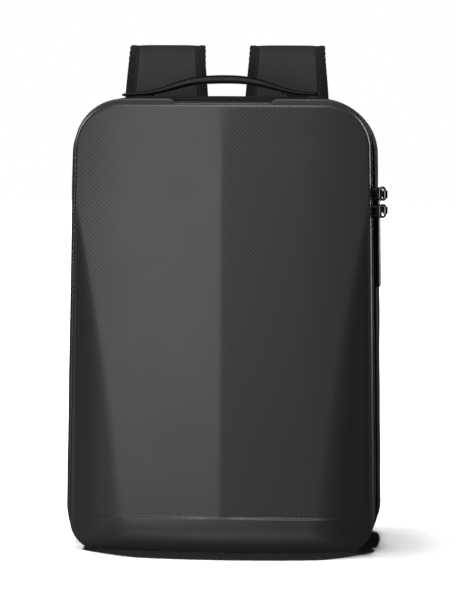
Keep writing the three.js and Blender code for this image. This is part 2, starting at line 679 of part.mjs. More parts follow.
// Padded back panel with an air channel down its middle
function backPanel() {
  const halfWidth = bodyFootHalfWidth - PANEL_SETBACK;
  const lobe = (x, z) => {
    const fromChannel = Math.abs(x) - PANEL_CHANNEL / 2;
    const fromEdge = Math.min(halfWidth - Math.abs(x), z - PANEL_FOOT_HEIGHT, PANEL_TOP_HEIGHT - z);
    return smooth(fromChannel, 0, 16) * smooth(fromEdge, 8, 30);
  };
  const rows = outlineRows({
    foot: PANEL_FOOT_HEIGHT,
    top: PANEL_TOP_HEIGHT,
    halfWidth: () => halfWidth,
    footRadius: PANEL_RADIUS,
    topRadius: PANEL_RADIUS,
    footAngles: [90, 50, 20],
    topAngles: [20, 50, 90],
    steps: 6,
  });
  const geometry = trayFrom({
    rows,
    columns: [-1, -0.9, -0.76, -0.45, -0.26, -0.13, 0, 0.13, 0.26, 0.45, 0.76, 0.9, 1],
    place: (x, z, depth) => point(x, backFaceY + FIT_GAP + depth, z),
    face: (x, z) => PANEL_EDGE + PANEL_LOBE * lobe(x, z),
    faceInset: () => PANEL_EDGE / 2,
    rings: [
      () => ({ inset: 0, depth: PANEL_EDGE * 0.6 }),
      () => ({ inset: 0, depth: 0 }),
    ],
    lining: () => 0,
    liningInset: () => PANEL_EDGE / 2,
  });
  add("back_panel", geometry, strapFabric);
}

// Section of a shoulder strap, as shares of half its width and half its thickness: a nearly flat outer
// face, padding on the inner side, and a flat bound edge on each side.
const strapSection = [
  { across: -1, outer: 0.92, inner: 0.4 },
  { across: -0.74, outer: 0.95, inner: 0.3 },
  { across: -0.6, outer: 0.98, inner: -0.8 },
  { across: 0, outer: 1, inner: -1 },
  { across: 0.6, outer: 0.98, inner: -0.8 },
  { across: 0.74, outer: 0.95, inner: 0.3 },
  { across: 1, outer: 0.92, inner: 0.4 },
];
// Course of a strap. back is its distance behind the body's back face as a share of STRAP_THICKNESS,
// height a share of the way from STRAP_END_HEIGHT to the fold, aside its shift outwards in shares of
// STRAP_WIDTH, and width its width as a share of STRAP_WIDTH.
const strapCourse = [
  { back: 0.55, height: 0.757, aside: 0, width: 1.08 },
  { back: 0.58, height: 0.82, aside: 0, width: 1.08 },
  { back: 0.72, height: 0.87, aside: 0, width: 1.05 },
  { back: 1.0, height: 0.922, aside: 0, width: 1.01 },
  { back: 1.35, height: 0.958, aside: 0, width: 0.985 },
  { back: 1.85, height: 0.977, aside: 0, width: 0.975 },
  { back: 2.45, height: 0.978, aside: 0, width: 0.97 },
  { back: 2.98, height: 0.962, aside: 0, width: 0.965 },
  { back: 3.3, height: 0.93, aside: 0, width: 0.96 },
  { back: 3.42, height: 0.88, aside: 0.005, width: 0.955 },
  { back: 3.2, height: 0.8, aside: 0.02, width: 0.945 },
  { back: 2.7, height: 0.7, aside: 0.05, width: 0.93 },
  { back: 2.25, height: 0.6, aside: 0.09, width: 0.91 },
  { back: 1.97, height: 0.48, aside: 0.14, width: 0.88 },
  { back: 1.92, height: 0.34, aside: 0.2, width: 0.83 },
  { back: 1.92, height: 0.2, aside: 0.29, width: 0.76 },
  { back: 1.92, height: 0.1, aside: 0.39, width: 0.69 },
  { back: 1.92, height: 0.02, aside: 0.51, width: 0.62 },
];

// Stations along a course: its points and, at each, the directions across it and out of its face.
function stations(points, outwards) {
  return points.map((here, i) => {
    const before = points[Math.max(i - 1, 0)];
    const after = points[Math.min(i + 1, points.length - 1)];
    const along = after.clone().sub(before).normalize();
    const across = along.clone().cross(outwards[i]).normalize();
    return { here, along, across, out: across.clone().cross(along).normalize() };
  });
}

function strapPoints(side) {
  const fold = CASE_HEIGHT + STRAP_RISE;
  const reach = fold - STRAP_END_HEIGHT;
  return strapCourse.map(({ back, height, aside }) =>
    point(
      side * (STRAP_SPACING / 2 + aside * STRAP_WIDTH),
      backFaceY + FIT_GAP * 2 + back * STRAP_THICKNESS,
      STRAP_END_HEIGHT + height * reach,
    ),
  );
}

function shoulderStrap(name, side) {
  const points = strapPoints(side);
  // The outer face looks forwards where the strap rises and backwards where it comes down, so it points
  // away from the middle of the fold.
  const outwards = points.map((_, i) => {
    const before = points[Math.max(i - 1, 0)];
    const after = points[Math.min(i + 1, points.length - 1)];
    return point(0, before.z - after.z, after.y - before.y);
  });
  const rings = stations(points, outwards).map(({ here, across, out }, i) => {
    const half = (STRAP_WIDTH * strapCourse[i].width) / 2;
    const corner = (share, lift) =>
      here
        .clone()
        .addScaledVector(across, share * half)
        .addScaledVector(out, (lift * STRAP_THICKNESS) / 2);
    return [
      ...strapSection.map(({ across: share, outer }) => corner(share, outer)),
      ...strapSection.map(({ across: share, inner }) => corner(share, inner)).reverse(),
    ];
  });
  add(name, loft(rings), strapFabric);
}

// Buckle and webbing: from the end of the strap down and out to the side of the body
function strapEnd(side) {
  const course = strapPoints(side);
  const end = course[course.length - 1];
  const heading = end.clone().sub(course[course.length - 2]);
  heading.y = 0;
  heading.normalize();
  return { end, heading };
}

function ladderBuckle(name, side) {
  const { end, heading } = strapEnd(side);
  const outline = roundedRectangle(BUCKLE_WIDTH, BUCKLE_LENGTH, BUCKLE_CORNER);
  const slotPlace = BUCKLE_LENGTH * 0.2;
  for (const offset of [-slotPlace, slotPlace]) {
    const hole = roundedRectangle(WEBBING_WIDTH + 5 * FIT_GAP, BUCKLE_SLOT, 1, THREE.Path);
    outline.holes.push(new THREE.Path(hole.getPoints(2).map((p) => p.clone().setY(p.y + offset))));
  }
  const geometry = new THREE.ExtrudeGeometry(outline, {
    depth: BUCKLE_THICKNESS - 2 * BUCKLE_CHAMFER,
    bevelThickness: BUCKLE_CHAMFER,
    bevelSize: BUCKLE_CHAMFER,
    bevelOffset: -BUCKLE_CHAMFER,
    bevelSegments: 1,
    curveSegments: 3,
  });
  geometry.translate(0, 0, BUCKLE_CHAMFER - BUCKLE_THICKNESS / 2);
  const out = point(0, 1, 0);
  const across = heading.clone().cross(out);
  const turn = new THREE.Matrix4().makeBasis(across, heading, across.clone().cross(heading));
  const middle = end.clone().addScaledVector(heading, BUCKLE_LENGTH / 2 + FIT_GAP);
  geometry.applyMatrix4(turn.setPosition(middle));
  add(name, geometry, trimPlastic);
}

// A place over the body's back corner: clear of it by a distance, at an angle from the side to the back
function cornerPlace(side, clear, angle, z) {
  const radius = BODY_BACK_RADIUS + clear;
  const x = bodyHalfWidth(z) - BODY_BACK_RADIUS + radius * Math.cos(radians(angle));
  const y = backFaceY - BODY_BACK_RADIUS + radius * Math.sin(radians(angle));
  return point(side * x, y, z);
}

const tabMiddle = TAB_FOOT_HEIGHT + TAB_HEIGHT / 2;

function strapWebbing(name, side) {
  const { end, heading } = strapEnd(side);
  const from = end.clone().addScaledVector(heading, BUCKLE_LENGTH + FIT_GAP * 2);
  const straight = from.clone().addScaledVector(heading, WEBBING_WIDTH / 4);
  const clear = TAB_THICKNESS + WEBBING_THICKNESS / 2 + FIT_GAP * 3;
  // Down and out over the panel's edge, then level round the body's back corner, over the tab
  const turns = [90, 72, WEBBING_END_ANGLE].map((angle) => ({
    here: cornerPlace(side, clear, angle, tabMiddle),
    out: point(side * Math.cos(radians(angle)), Math.sin(radians(angle)), 0),
  }));
  const first = turns[0].here;
  const slope = point(
    first.x - side * WEBBING_WIDTH * 0.3,
    mix(from.y, first.y, 0.72),
    mix(from.z, first.z, 0.95),
  );
  const stops = [
    { here: from, out: point(0, 1, 0) },
    { here: straight, out: point(0, 1, 0) },
    { here: slope, out: point(side * 0.1, 1, 0) },
    ...turns,
  ];
  const points = stops.map(({ here }) => here);
  const outwards = stops.map(({ out }) => out);
  const rings = stations(points, outwards).map(({ here, across, out }) =>
    [
      [-1, 1],
      [1, 1],
      [1, -1],
      [-1, -1],
    ].map(([u, v]) =>
      here
        .clone()
        .addScaledVector(across, (u * WEBBING_WIDTH) / 2)
        .addScaledVector(out, (v * WEBBING_THICKNESS) / 2),
    ),
  );
  add(name, loft(rings), webbingWeave);
}

// Sewn tab that holds the webbing: it wraps the body's back corner, tall at its seam in the side and
// narrow on the back.
function anchorTab(name, side) {
  const steps = 5;
  const rings = [];
  for (let i = 0; i <= steps; i++) {
    const angle = mix(TAB_SEAM_ANGLE, 90, i / steps);
    const half = mix(TAB_HEIGHT, WEBBING_WIDTH, i / steps) / 2;
    rings.push([
      cornerPlace(side, FIT_GAP, angle, tabMiddle - half),
      cornerPlace(side, FIT_GAP + TAB_THICKNESS, angle, tabMiddle - half),
      cornerPlace(side, FIT_GAP + TAB_THICKNESS, angle, tabMiddle + half),
      cornerPlace(side, FIT_GAP, angle, tabMiddle + half),
    ]);
  }
  add(name, loft(rings), webbingWeave);
}

// Course of the handle's middle line. reach is a share of HANDLE_REACH from the middle, rise a share of
// HANDLE_RISE above the case, and thick a share of HANDLE_THICKNESS. Its right end stands higher.
const handleCourse = [
  { reach: -1, rise: 0.02, thick: 0.36 },
  { reach: -0.93, rise: 0.07, thick: 0.4 },
  { reach: -0.79, rise: 0.13, thick: 0.46 },
  { reach: -0.67, rise: 0.25, thick: 0.6 },
  { reach: -0.55, rise: 0.45, thick: 0.72 },
  { reach: -0.4, rise: 0.74, thick: 0.88 },
  { reach: -0.26, rise: 0.92, thick: 0.97 },
  { reach: -0.1, rise: 0.99, thick: 1 },
  { reach: 0.04, rise: 1, thick: 1 },
  { reach: 0.18, rise: 0.96, thick: 0.96 },
  { reach: 0.33, rise: 0.81, thick: 0.88 },
  { reach: 0.47, rise: 0.57, thick: 0.72 },
  { reach: 0.6, rise: 0.34, thick: 0.56 },
  { reach: 0.71, rise: 0.2, thick: 0.48 },
  { reach: 0.81, rise: 0.15, thick: 0.44 },
  { reach: 0.92, rise: 0.14, thick: 0.4 },
];
const handleSection = [
  { across: -1, out: 0 },
  { across: -0.86, out: 0.7 },
  { across: -0.4, out: 1 },
  { across: 0.4, out: 1 },
  { across: 0.86, out: 0.7 },
  { across: 1, out: 0 },
  { across: 0.8, out: -0.8 },
  { across: 0.4, out: -1 },
  { across: -0.4, out: -1 },
  { across: -0.8, out: -0.8 },
];

function carryHandle() {
  const last = handleCourse.length - 1;
  const rings = handleCourse.map(({ reach, rise, thick }, i) => {
    const ends = i === 0 || i === last ? 0.8 : 1;
    return handleSection.map(({ across, out }) =>
      point(
        reach * HANDLE_REACH,
        HANDLE_Y + (across * HANDLE_WIDTH * ends) / 2,
        CASE_HEIGHT + rise * HANDLE_RISE + (out * thick * HANDLE_THICKNESS) / 2,
      ),
    );
  });
  add("carry_handle", loft(rings), handleRubber);
}

// Height of the handle's underside above the case at a share of its reach
function handleUnderside(reach) {
  const next = handleCourse.findIndex((entry) => entry.reach >= reach);
  const [a, b] = [handleCourse[next - 1], handleCourse[next]];
  const share = (reach - a.reach) / (b.reach - a.reach);
  const rise = mix(a.rise, b.rise, share) * HANDLE_RISE;
  return rise - (mix(a.thick, b.thick, share) * HANDLE_THICKNESS) / 2;
}

// A foot between the body's top and the handle, from one share of the handle's reach to another
function handleFoot(name, from, to) {
  const steps = 4;
  const low = [];
  const high = [];
  for (let i = 0; i <= steps; i++) {
    const reach = mix(from, to, i / steps);
    const x = reach * HANDLE_REACH;
    const lean = i === 0 ? FOOT_OVERHANG : i === steps ? -FOOT_OVERHANG : 0;
    low.push(new THREE.Vector2(x + lean, -topFall(x, CASE_HEIGHT) + FIT_GAP));
    high.push(new THREE.Vector2(x, handleUnderside(reach) - FIT_GAP));
  }
  const outline = new THREE.Shape([...low, ...high.reverse()]);
  const geometry = new THREE.ExtrudeGeometry(outline, { depth: FOOT_WIDTH, bevelEnabled: false });
  geometry.rotateX(Math.PI / 2).translate(0, HANDLE_Y + FOOT_WIDTH / 2, CASE_HEIGHT);
  add(name, geometry, trimPlastic);
}

frontShell();
rearBody();
zipTape();
zipCoil();
for (const [place, sense] of [
  ["upper", 1],
  ["lower", -1],
]) {
  const seat = slider(`slider_${place}`, sense);
  pull(`pull_${place}`, sense, seat);
}
lockPlate();
backPanel();
for (const [place, side] of [
  ["left", -1],
  ["right", 1],
]) {
  shoulderStrap(`shoulder_strap_${place}`, side);
  ladderBuckle(`strap_buckle_${place}`, side);
  strapWebbing(`strap_webbing_${place}`, side);
  anchorTab(`anchor_tab_${place}`, side);
}
carryHandle();
handleFoot("handle_foot_left", -0.95, -0.69);
handleFoot("handle_foot_right", 0.59, 0.81);

export default model;
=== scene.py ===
"""A hard shell backpack standing on a pale floor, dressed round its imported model.

Shapes are worked out in millimetres, with X to the right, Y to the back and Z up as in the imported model,
and are turned to metres when a mesh is made.
"""
import math

import bmesh
import bpy
import numpy as np
from mathutils import Matrix, Vector


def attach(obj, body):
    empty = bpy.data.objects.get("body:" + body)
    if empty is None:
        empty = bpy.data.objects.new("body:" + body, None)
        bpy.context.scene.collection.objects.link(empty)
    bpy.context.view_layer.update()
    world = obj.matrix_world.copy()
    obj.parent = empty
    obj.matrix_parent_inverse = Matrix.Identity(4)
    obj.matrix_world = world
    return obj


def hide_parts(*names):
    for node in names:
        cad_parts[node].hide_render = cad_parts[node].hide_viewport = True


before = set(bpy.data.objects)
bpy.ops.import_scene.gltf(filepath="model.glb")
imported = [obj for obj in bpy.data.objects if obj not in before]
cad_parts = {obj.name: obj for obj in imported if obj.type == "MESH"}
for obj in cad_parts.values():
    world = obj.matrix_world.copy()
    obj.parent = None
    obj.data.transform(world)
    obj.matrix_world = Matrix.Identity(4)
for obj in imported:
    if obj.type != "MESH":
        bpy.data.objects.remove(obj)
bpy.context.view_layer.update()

MM = 0.001  # metres in a millimetre

# Driving dimensions, in millimetres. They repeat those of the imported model, apart from what is marked as
# finer: there the photograph shows a little more than was packed.
CASE_HEIGHT = 450
FIT_GAP = 0.3
RIM_FRONT_Y = -24  # plane where the front shell ends
BODY_FRONT_Y = -16.4
BACK_FACE_Y = 59.6

SHELL_TOP = 447
SHELL_HALF_WIDTH = 154.7
SHELL_LEAN = 0.0238
SHELL_TOP_RADIUS = 48
SHELL_FOOT_RADIUS = 36.5
SHELL_WALL = 2.6
CREST_DEPTH = 50
CREST_LEAN = 4
CREST_BOW = 14
RIDGE_SLOPE = 0.085
CREASE_RADIUS = 2
CREASE_TOP_RADIUS = 9  # finer: the crease softens towards the top edge, over the next length
CREASE_SOFT_LENGTH = 45
SHOULDER_START = 75
SHOULDER_DROP = 7
LEDGE_HEIGHT = 42
LEDGE_STEP = 1.2
LEDGE_SOFT = 1.3  # half the height over which the ledge steps forwards
LEDGE_SAG = 2.2  # finer: it is lower by this much at the facet's inner corner
BUMPER_RADIUS = 36
BUMPER_BOW = 8
FACET_TOP = 330
FACET_TOP_DEPTH = 20
FACET_FOOT_REACH = 111  # finer: packed at 108.5
FACET_FOOT_DEPTH = 9
FACET_SOFT_TOP = 1.5
FACET_SOFT_FOOT = 12
EDGE_FILLET = 3  # finer: packed at 4
FOOT_FILLET = 0.5
SIDE_DRAFT = 1.4
TOP_DRAFT = 4
BEAD_WIDTH = 5
BEAD_PROUD = 1.5
NOTCH_HALF_WIDTH = 48
NOTCH_DEPTH = 4
NOTCH_RAMP = 2.5

BODY_HALF_WIDTH = 162.4
BODY_LEAN = 0.0219
BODY_TOP_RADIUS = 57
BODY_FOOT_RADIUS = 39
BODY_DEPTH = 76
BODY_WALL = 3
BODY_BACK_RADIUS = 20
BODY_LIP_RADIUS = 4.5
BODY_BULGE = 4.6
BODY_TOP_CROWN = 5

TAPE_INSET = 4
TAPE_THICKNESS = 1.6
COIL_HEIGHT = 2.4
COIL_WIDTH = 4.6
COIL_END_HEIGHT = 30
TOOTH_PITCH = 2.0

SLIDER_MEETING_HEIGHT = 347
SLIDER_LENGTH = 13.2
SLIDER_SPACING = 3.8
SLIDER_PLATE_THICKNESS = 3.2
SLIDER_PLATE_REACH = 5  # half the plate's size across the zip, and then half the neck's
SLIDER_NECK_REACH = 3.2
SLIDER_RISE = 10.4
CROWN_RISE = 3.6
CROWN_BAR_RADIUS = 1.2

PANEL_HALF_WIDTH = 127.4
PANEL_FOOT_HEIGHT = 28
PANEL_TOP_HEIGHT = 418
PANEL_RADIUS = 38
PANEL_EDGE = 4
PANEL_LOBE = 10.5
PANEL_CHANNEL = 34
PAD_INSET = 9  # the pads start this far inside the panel's outline
PAD_RADIUS = 24
PAD_SIDE_RISE = 20  # a pad rises over this much from its sides, and over the next from its ends
PAD_END_RISE = 24
PAD_PRESSURE = 4  # of the cloth simulation, whose steps and shrinking come next
PAD_STEPS = 20
PAD_SHRINK = -0.02
PAD_CAP = 3.5  # no point of a pad moves further than this

STRAP_WIDTH = 78
STRAP_THICKNESS = 11
STRAP_SPACING = 123
STRAP_RISE = 53
STRAP_END_HEIGHT = 176
BINDING_SHARE = 0.84  # the bound edge starts at this share of the strap's half width
BAND_SHARE = 0.735  # and the stitched band inside it at this one
BINDING_THICKNESS = 0.5
BINDING_OUT = 0.6  # finer: it stands out to the side by this much
STITCH_SHARE = 0.79  # the band's stitches lie at this share
FOLD_LENGTH = 26  # the binding ripples over this much of the strap on each side of the fold
WEBBING_WIDTH = 25
WEBBING_THICKNESS = 1.8
WEBBING_END_ANGLE = 54  # degrees round the body's back corner from its side
BUCKLE_LENGTH = 30
BUCKLE_THICKNESS = 5
TAB_HEIGHT = 44
TAB_FOOT_HEIGHT = 98
TAB_SEAM_ANGLE = 28  # round the same corner
TAB_THICKNESS = 1.6
STITCH_PITCH = 4.0
STITCH_LENGTH = 2.7
STITCH_THICKNESS = 0.55

HANDLE_REACH = 102.5
HANDLE_RISE = 16.2
HANDLE_THICKNESS = 8.6
HANDLE_WIDTH = 26
HANDLE_Y = 16
HANDLE_TIP = 5  # its ends are rounded over this length
RIVET_X = 58
RIVET_RADIUS = 1.7

# Course of a strap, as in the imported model: how far it lies behind the body in strap thicknesses, its
# height as a share of the way to the fold, its shift outwards and its width in strap widths
STRAP_COURSE = [
    (0.55, 0.757, 0, 1.08),
    (0.58, 0.82, 0, 1.08),
    (0.72, 0.87, 0, 1.05),
    (1.0, 0.922, 0, 1.01),
    (1.35, 0.958, 0, 0.985),
    (1.85, 0.977, 0, 0.975),
    (2.45, 0.978, 0, 0.97),
    (2.98, 0.962, 0, 0.965),
    (3.3, 0.93, 0, 0.96),
    (3.42, 0.88, 0.005, 0.955),
    (3.2, 0.8, 0.02, 0.945),
    (2.7, 0.7, 0.05, 0.93),
    (2.25, 0.6, 0.09, 0.91),
    (1.97, 0.48, 0.14, 0.88),
    (1.92, 0.34, 0.2, 0.83),
    (1.92, 0.2, 0.29, 0.76),
    (1.92, 0.1, 0.39, 0.69),
    (1.92, 0.02, 0.51, 0.62),
]
# Course of the handle: its reach from the middle, its rise above the case and its thickness, as shares
HANDLE_COURSE = [
    (-1, 0.02, 0.36),
    (-0.93, 0.07, 0.4),
    (-0.79, 0.13, 0.46),
    (-0.67, 0.25, 0.6),
    (-0.55, 0.45, 0.72),
    (-0.4, 0.74, 0.88),
    (-0.26, 0.92, 0.97),
    (-0.1, 0.99, 1),
    (0.04, 1, 1),
    (0.18, 0.96, 0.96),
    (0.33, 0.81, 0.88),
    (0.47, 0.57, 0.72),
    (0.6, 0.34, 0.56),
    (0.71, 0.2, 0.48),
    (0.81, 0.15, 0.44),
    (0.92, 0.14, 0.4),
]

# The camera and what it frames: the photograph looks at the case from a little to its right, level with
# its top, with the frame's middle at half the case's height
CAMERA_DISTANCE = 1800
CAMERA_AZIMUTH = 2.31
CAMERA_PITCH = 6.43
CAMERA_ROLL = 0.24
CAMERA_ASIDE = 1.6
FOCAL_LENGTH = 108.7
SENSOR = 36
FILL_STRENGTH = 0.004  # of the world's light on the bag


def smooth(value, low, high):
    """Eases from 0 at low to 1 at high: three times the square of the share, less twice its cube."""
    share = np.clip((value - low) / (high - low), 0, 1)
    return share * share * (3 - 2 * share)


def soft_min(a, b, length):
    """The lesser of two depths, with a parabola of the given length across the corner between them."""
    overlap = np.maximum(length - np.abs(a - b), 0) / length
    return np.minimum(a, b) - overlap * overlap * length / 4


def spline(rows, count):
    """A smooth curve through rows of numbers: between two rows it is the cubic whose slope at each is half
    the step between that row's neighbours."""
    rows = np.asarray(rows, float)
    padded = np.concatenate([[2 * rows[0] - rows[1]], rows, [2 * rows[-1] - rows[-2]]])
    place = np.linspace(0, len(rows) - 1, count)
    k = np.minimum(place.astype(int), len(rows) - 2)
    u = (place - k)[:, None]
    a, b, c, d = (padded[k + i] for i in range(4))
    return b + 0.5 * u * (c - a + u * (2 * a - 5 * b + 4 * c - d + u * (3 * (b - c) + d - a)))


def unit(vectors):
    """Vectors brought to length 1."""
    return vectors / np.maximum(np.linalg.norm(vectors, axis=-1, keepdims=True), 1e-9)


def lengths_along(points):
    """Distance of each point from the first, along the line."""
    steps = np.linalg.norm(np.diff(points, axis=0), axis=1)
    return np.concatenate([[0], np.cumsum(steps)])


def sampled(stops, run, field):
    """A field along a line, such as its points, at given distances along it."""
    return np.stack([np.interp(stops, run, field[:, i]) for i in range(3)], -1)


def quads(rows, columns):
    """The numbers of a grid's vertices, and its faces."""
    ids = np.arange(rows * columns).reshape(rows, columns)
    return ids, np.stack([ids[:-1, :-1], ids[:-1, 1:], ids[1:, 1:], ids[1:, :-1]], -1).reshape(-1, 4)


def patch(points, cloth=None, material=0):
    """A grid of points with its cloth coordinates in millimetres, as vertices and quads."""
    rows, columns = points.shape[:2]
    _, faces = quads(rows, columns)
    if cloth is None:
        cloth = np.zeros((rows, columns, 2))
    return points.reshape(-1, 3), faces, cloth.reshape(-1, 2), material


def copies(template, faces, middles, axes, material=0):
    """One patch that repeats a small shape: each copy is the template's points times its three axes, moved
    to its middle."""
    count, size = len(middles), len(template)
    points = middles[:, None] + np.einsum("pk,nkc->npc", template, axes)
    shifted = (faces[None] + size * np.arange(count)[:, None, None]).reshape(-1, 4)
    return points.reshape(-1, 3), shifted, np.zeros((count * size, 2)), material


def sweep(points, across, out, section):
    """Carries a section along a line: each point of it lies at the line's point, plus its first number
    times the direction across and its second times the direction out."""
    return (
        points[:, None]
        + section[..., :1] * across[:, None]
        + section[..., 1:2] * out[:, None]
    )


def wheel(across, out, power, count):
    """A closed section whose points are the cosine and the sine of even angles, each brought to 2 over the
    power: an ellipse at 2 and nearly a rectangle at high powers."""
    angle = np.linspace(0, 2 * np.pi, count + 1)
    turned = np.stack([np.cos(angle), np.sin(angle)], -1)
    return np.sign(turned) * np.abs(turned) ** (2 / power) * (across, out)


def guides(points, outward):
    """Directions along a line, across it and out of it, from rough outward ones."""
    along = unit(np.gradient(points, axis=0))
    across = unit(np.cross(along, outward))
    return along, across, np.cross(across, along)


def stitches(points, along, across, out, material):
    """A row of stitches along a line: at each pitch, a small mound of thread twice as high in its middle."""
    run = lengths_along(points)
    stops = np.arange(STITCH_PITCH, run[-1] - STITCH_PITCH, STITCH_PITCH)
    middles, *axes = (sampled(stops, run, field) for field in (points, along, across, out))
    profile = np.array([(-0.5, 0.2), (-0.3, 0.85), (0, 1), (0.3, 0.85), (0.5, 0.2)])
    section = np.array([(-0.5, -0.3), (-0.36, 0.35), (0, 0.6), (0.36, 0.35), (0.5, -0.3), (-0.5, -0.3)])
    template = np.stack(
        [
            np.broadcast_to(profile[:, :1] * STITCH_LENGTH, (5, 6)),
            profile[:, 1:] * section[:, 0] * STITCH_THICKNESS,
            profile[:, 1:] * section[:, 1] * STITCH_THICKNESS,
        ],
        -1,
    )
    flat, faces, *_ = patch(template)
    return copies(flat, faces, middles, np.stack(axes, 1), material)


def closed_ends(grid):
    """A grid whose first and last rows are drawn together to their middles, so that its ends are closed."""
    first = np.broadcast_to(grid[0].mean(0), grid[0].shape)
    last = np.broadcast_to(grid[-1].mean(0), grid[-1].shape)
    return np.concatenate([first[None], grid, last[None]])


def make(name, patches, materials, stands_for=(), body="case", sharp=40, weld=0.002):
    """Makes a piece of patches. Vertices closer than weld millimetres are sewn together, the faces are
    turned outwards, and edges bent by more than sharp degrees stay sharp."""
    starts = np.cumsum([0] + [len(p[0]) for p in patches[:-1]])
    points = np.concatenate([p[0] for p in patches]) * MM
    faces = np.concatenate([p[1] + start for p, start in zip(patches, starts)])
    cloth = np.concatenate([p[2] for p in patches]) * MM
    kinds = np.concatenate([np.full(len(p[1]), p[3]) for p in patches])
    mesh = bpy.data.meshes.new(name)
    mesh.vertices.add(len(points))
    mesh.vertices.foreach_set("co", points.astype(np.float32).ravel())
    mesh.loops.add(faces.size)
    mesh.loops.foreach_set("vertex_index", faces.astype(np.int32).ravel())
    mesh.polygons.add(len(faces))
    mesh.polygons.foreach_set("loop_start", np.arange(0, faces.size, 4, dtype=np.int32))
    mesh.polygons.foreach_set("material_index", kinds.astype(np.int32))
    layer = mesh.uv_layers.new(name="cloth")
    layer.data.foreach_set("uv", cloth[faces.ravel()].astype(np.float32).ravel())
    mesh.update(calc_edges=True)
    shell = bmesh.new()
    shell.from_mesh(mesh)
    bmesh.ops.remove_doubles(shell, verts=shell.verts, dist=weld * MM)
    bmesh.ops.recalc_face_normals(shell, faces=shell.faces)
    shell.to_mesh(mesh)
    shell.free()
    mesh.validate()
    mesh.shade_smooth()
    mesh.set_sharp_from_angle(angle=math.radians(sharp))
    piece = bpy.data.objects.new(name, mesh)
    bpy.context.scene.collection.objects.link(piece)
    for material in materials:
        mesh.materials.append(material)
    if stands_for:
        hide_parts(*stands_for)
    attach(piece, body)
    return piece


# Materials
def colour(code):
    """The linear colour, with its alpha, of an sRGB hex code."""
    parts = [int(code[i : i + 2], 16) / 255 for i in (0, 2, 4)]
    return [p / 12.92 if p <= 0.04045 else ((p + 0.055) / 1.055) ** 2.4 for p in parts] + [1]


def node(tree, kind, inputs=None, **settings):
    """Adds a node, sets its properties, and fills its inputs from values or from other nodes' outputs."""
    made = tree.nodes.new(kind)
    for key, value in settings.items():
        setattr(made, key, value)
    for key, value in (inputs or {}).items():
        if isinstance(value, bpy.types.NodeSocket):
            tree.links.new(value, made.inputs[key])
        else:
            made.inputs[key].default_value = value
    return made


def new_material(name, **sockets):
    """A material with its shader's own sockets set, its node tree and its shader."""
    material = bpy.data.materials.new(name)
    material.use_nodes = True
    shader = material.node_tree.nodes["Principled BSDF"]
    for key, value in sockets.items():
        shader.inputs[key.replace("_", " ")].default_value = value
    return material, material.node_tree, shader


def places(tree, source="Object"):
    """Where a point is, in millimetres: on the object, or on the cloth for a piece with its own map."""
    if source == "Object":
        spot = node(tree, "ShaderNodeTexCoord").outputs["Object"]
    else:
        spot = node(tree, "ShaderNodeUVMap", uv_map="cloth").outputs["UV"]
    return node(tree, "ShaderNodeVectorMath", {0: spot, "Scale": 1 / MM}, operation="SCALE").outputs[0]


def wave(tree, spot, direction):
    """A sine wave from -1 to 1 whose turns per millimetre along each axis are the direction's numbers."""
    turns = [2 * math.pi * part for part in direction]
    angle = node(tree, "ShaderNodeVectorMath", {0: spot, 1: turns}, operation="DOT_PRODUCT")
    return node(tree, "ShaderNodeMath", {0: angle.outputs["Value"]}, operation="SINE").outputs[0]


def product(tree, a, b):
    """Two values times each other."""
    return node(tree, "ShaderNodeMath", {0: a, 1: b}, operation="MULTIPLY").outputs[0]


def mottle(tree, spot, size, detail=3.0):
    """Soft noise from 0 to 1 with patches of about the given size in millimetres."""
    inputs = {"Vector": spot, "Scale": 1 / size, "Detail": detail, "Roughness": 0.6}
    return node(tree, "ShaderNodeTexNoise", inputs).outputs[0]


def mixed(tree, share, low, high):
    """A colour between two, by a share from 0 to 1."""
    inputs = {"Factor": share, "A": low, "B": high}
    made = node(tree, "ShaderNodeMix", data_type="RGBA")
    for key, value in inputs.items():
        socket = next(s for s in made.inputs if s.name == key and s.enabled)
        if isinstance(value, bpy.types.NodeSocket):
            tree.links.new(value, socket)
        else:
            socket.default_value = value
    return next(s for s in made.outputs if s.enabled)


def span(tree, value, low, high, to_low, to_high):
    """A value carried from one range to another."""
    inputs = {0: value, 1: low, 2: high, 3: to_low, 4: to_high}
    return node(tree, "ShaderNodeMapRange", inputs).outputs[0]


def feed(tree, shader, **outputs):
    """Links outputs to the shader's own sockets."""
    for key, value in outputs.items():
        tree.links.new(value, shader.inputs[key.replace("_", " ")])


def raise_surface(tree, shader, height, depth):
    """Bumps the surface by a height from -1 to 1 times a depth in millimetres."""
    inputs = {"Height": height, "Distance": depth * MM}
    feed(tree, shader, Normal=node(tree, "ShaderNodeBump", inputs).outputs[0])


def moulded_abs():
    """Injection moulded ABS: satin grey-black, with a fine woven emboss that breaks up its highlights."""
    material, tree, shader = new_material("moulded_abs", Roughness=0.47, IOR=1.53)
    spot = places(tree)
    # The real emboss is about 1.2 mm apart, and is drawn at 2.2 mm so that it shows at this size.
    pitch = 2.2
    across = wave(tree, spot, (0.5 / pitch, 0.3 / pitch, 0))
    emboss = product(tree, across, wave(tree, spot, (0, 0, 0.5 / pitch)))
    patches = mottle(tree, spot, 90, 1.0)
    depth = product(tree, emboss, span(tree, patches, 0.4, 0.6, 0.7, 1.1))
    raise_surface(tree, shader, depth, 0.035)
    base = mixed(tree, mottle(tree, spot, 40, 1.0), colour("2f2f31"), colour("313133"))
    rough = span(tree, mottle(tree, spot, 70, 1.0), 0.3, 0.7, 0.46, 0.48)
    feed(tree, shader, Base_Color=base, Roughness=rough)
    return material


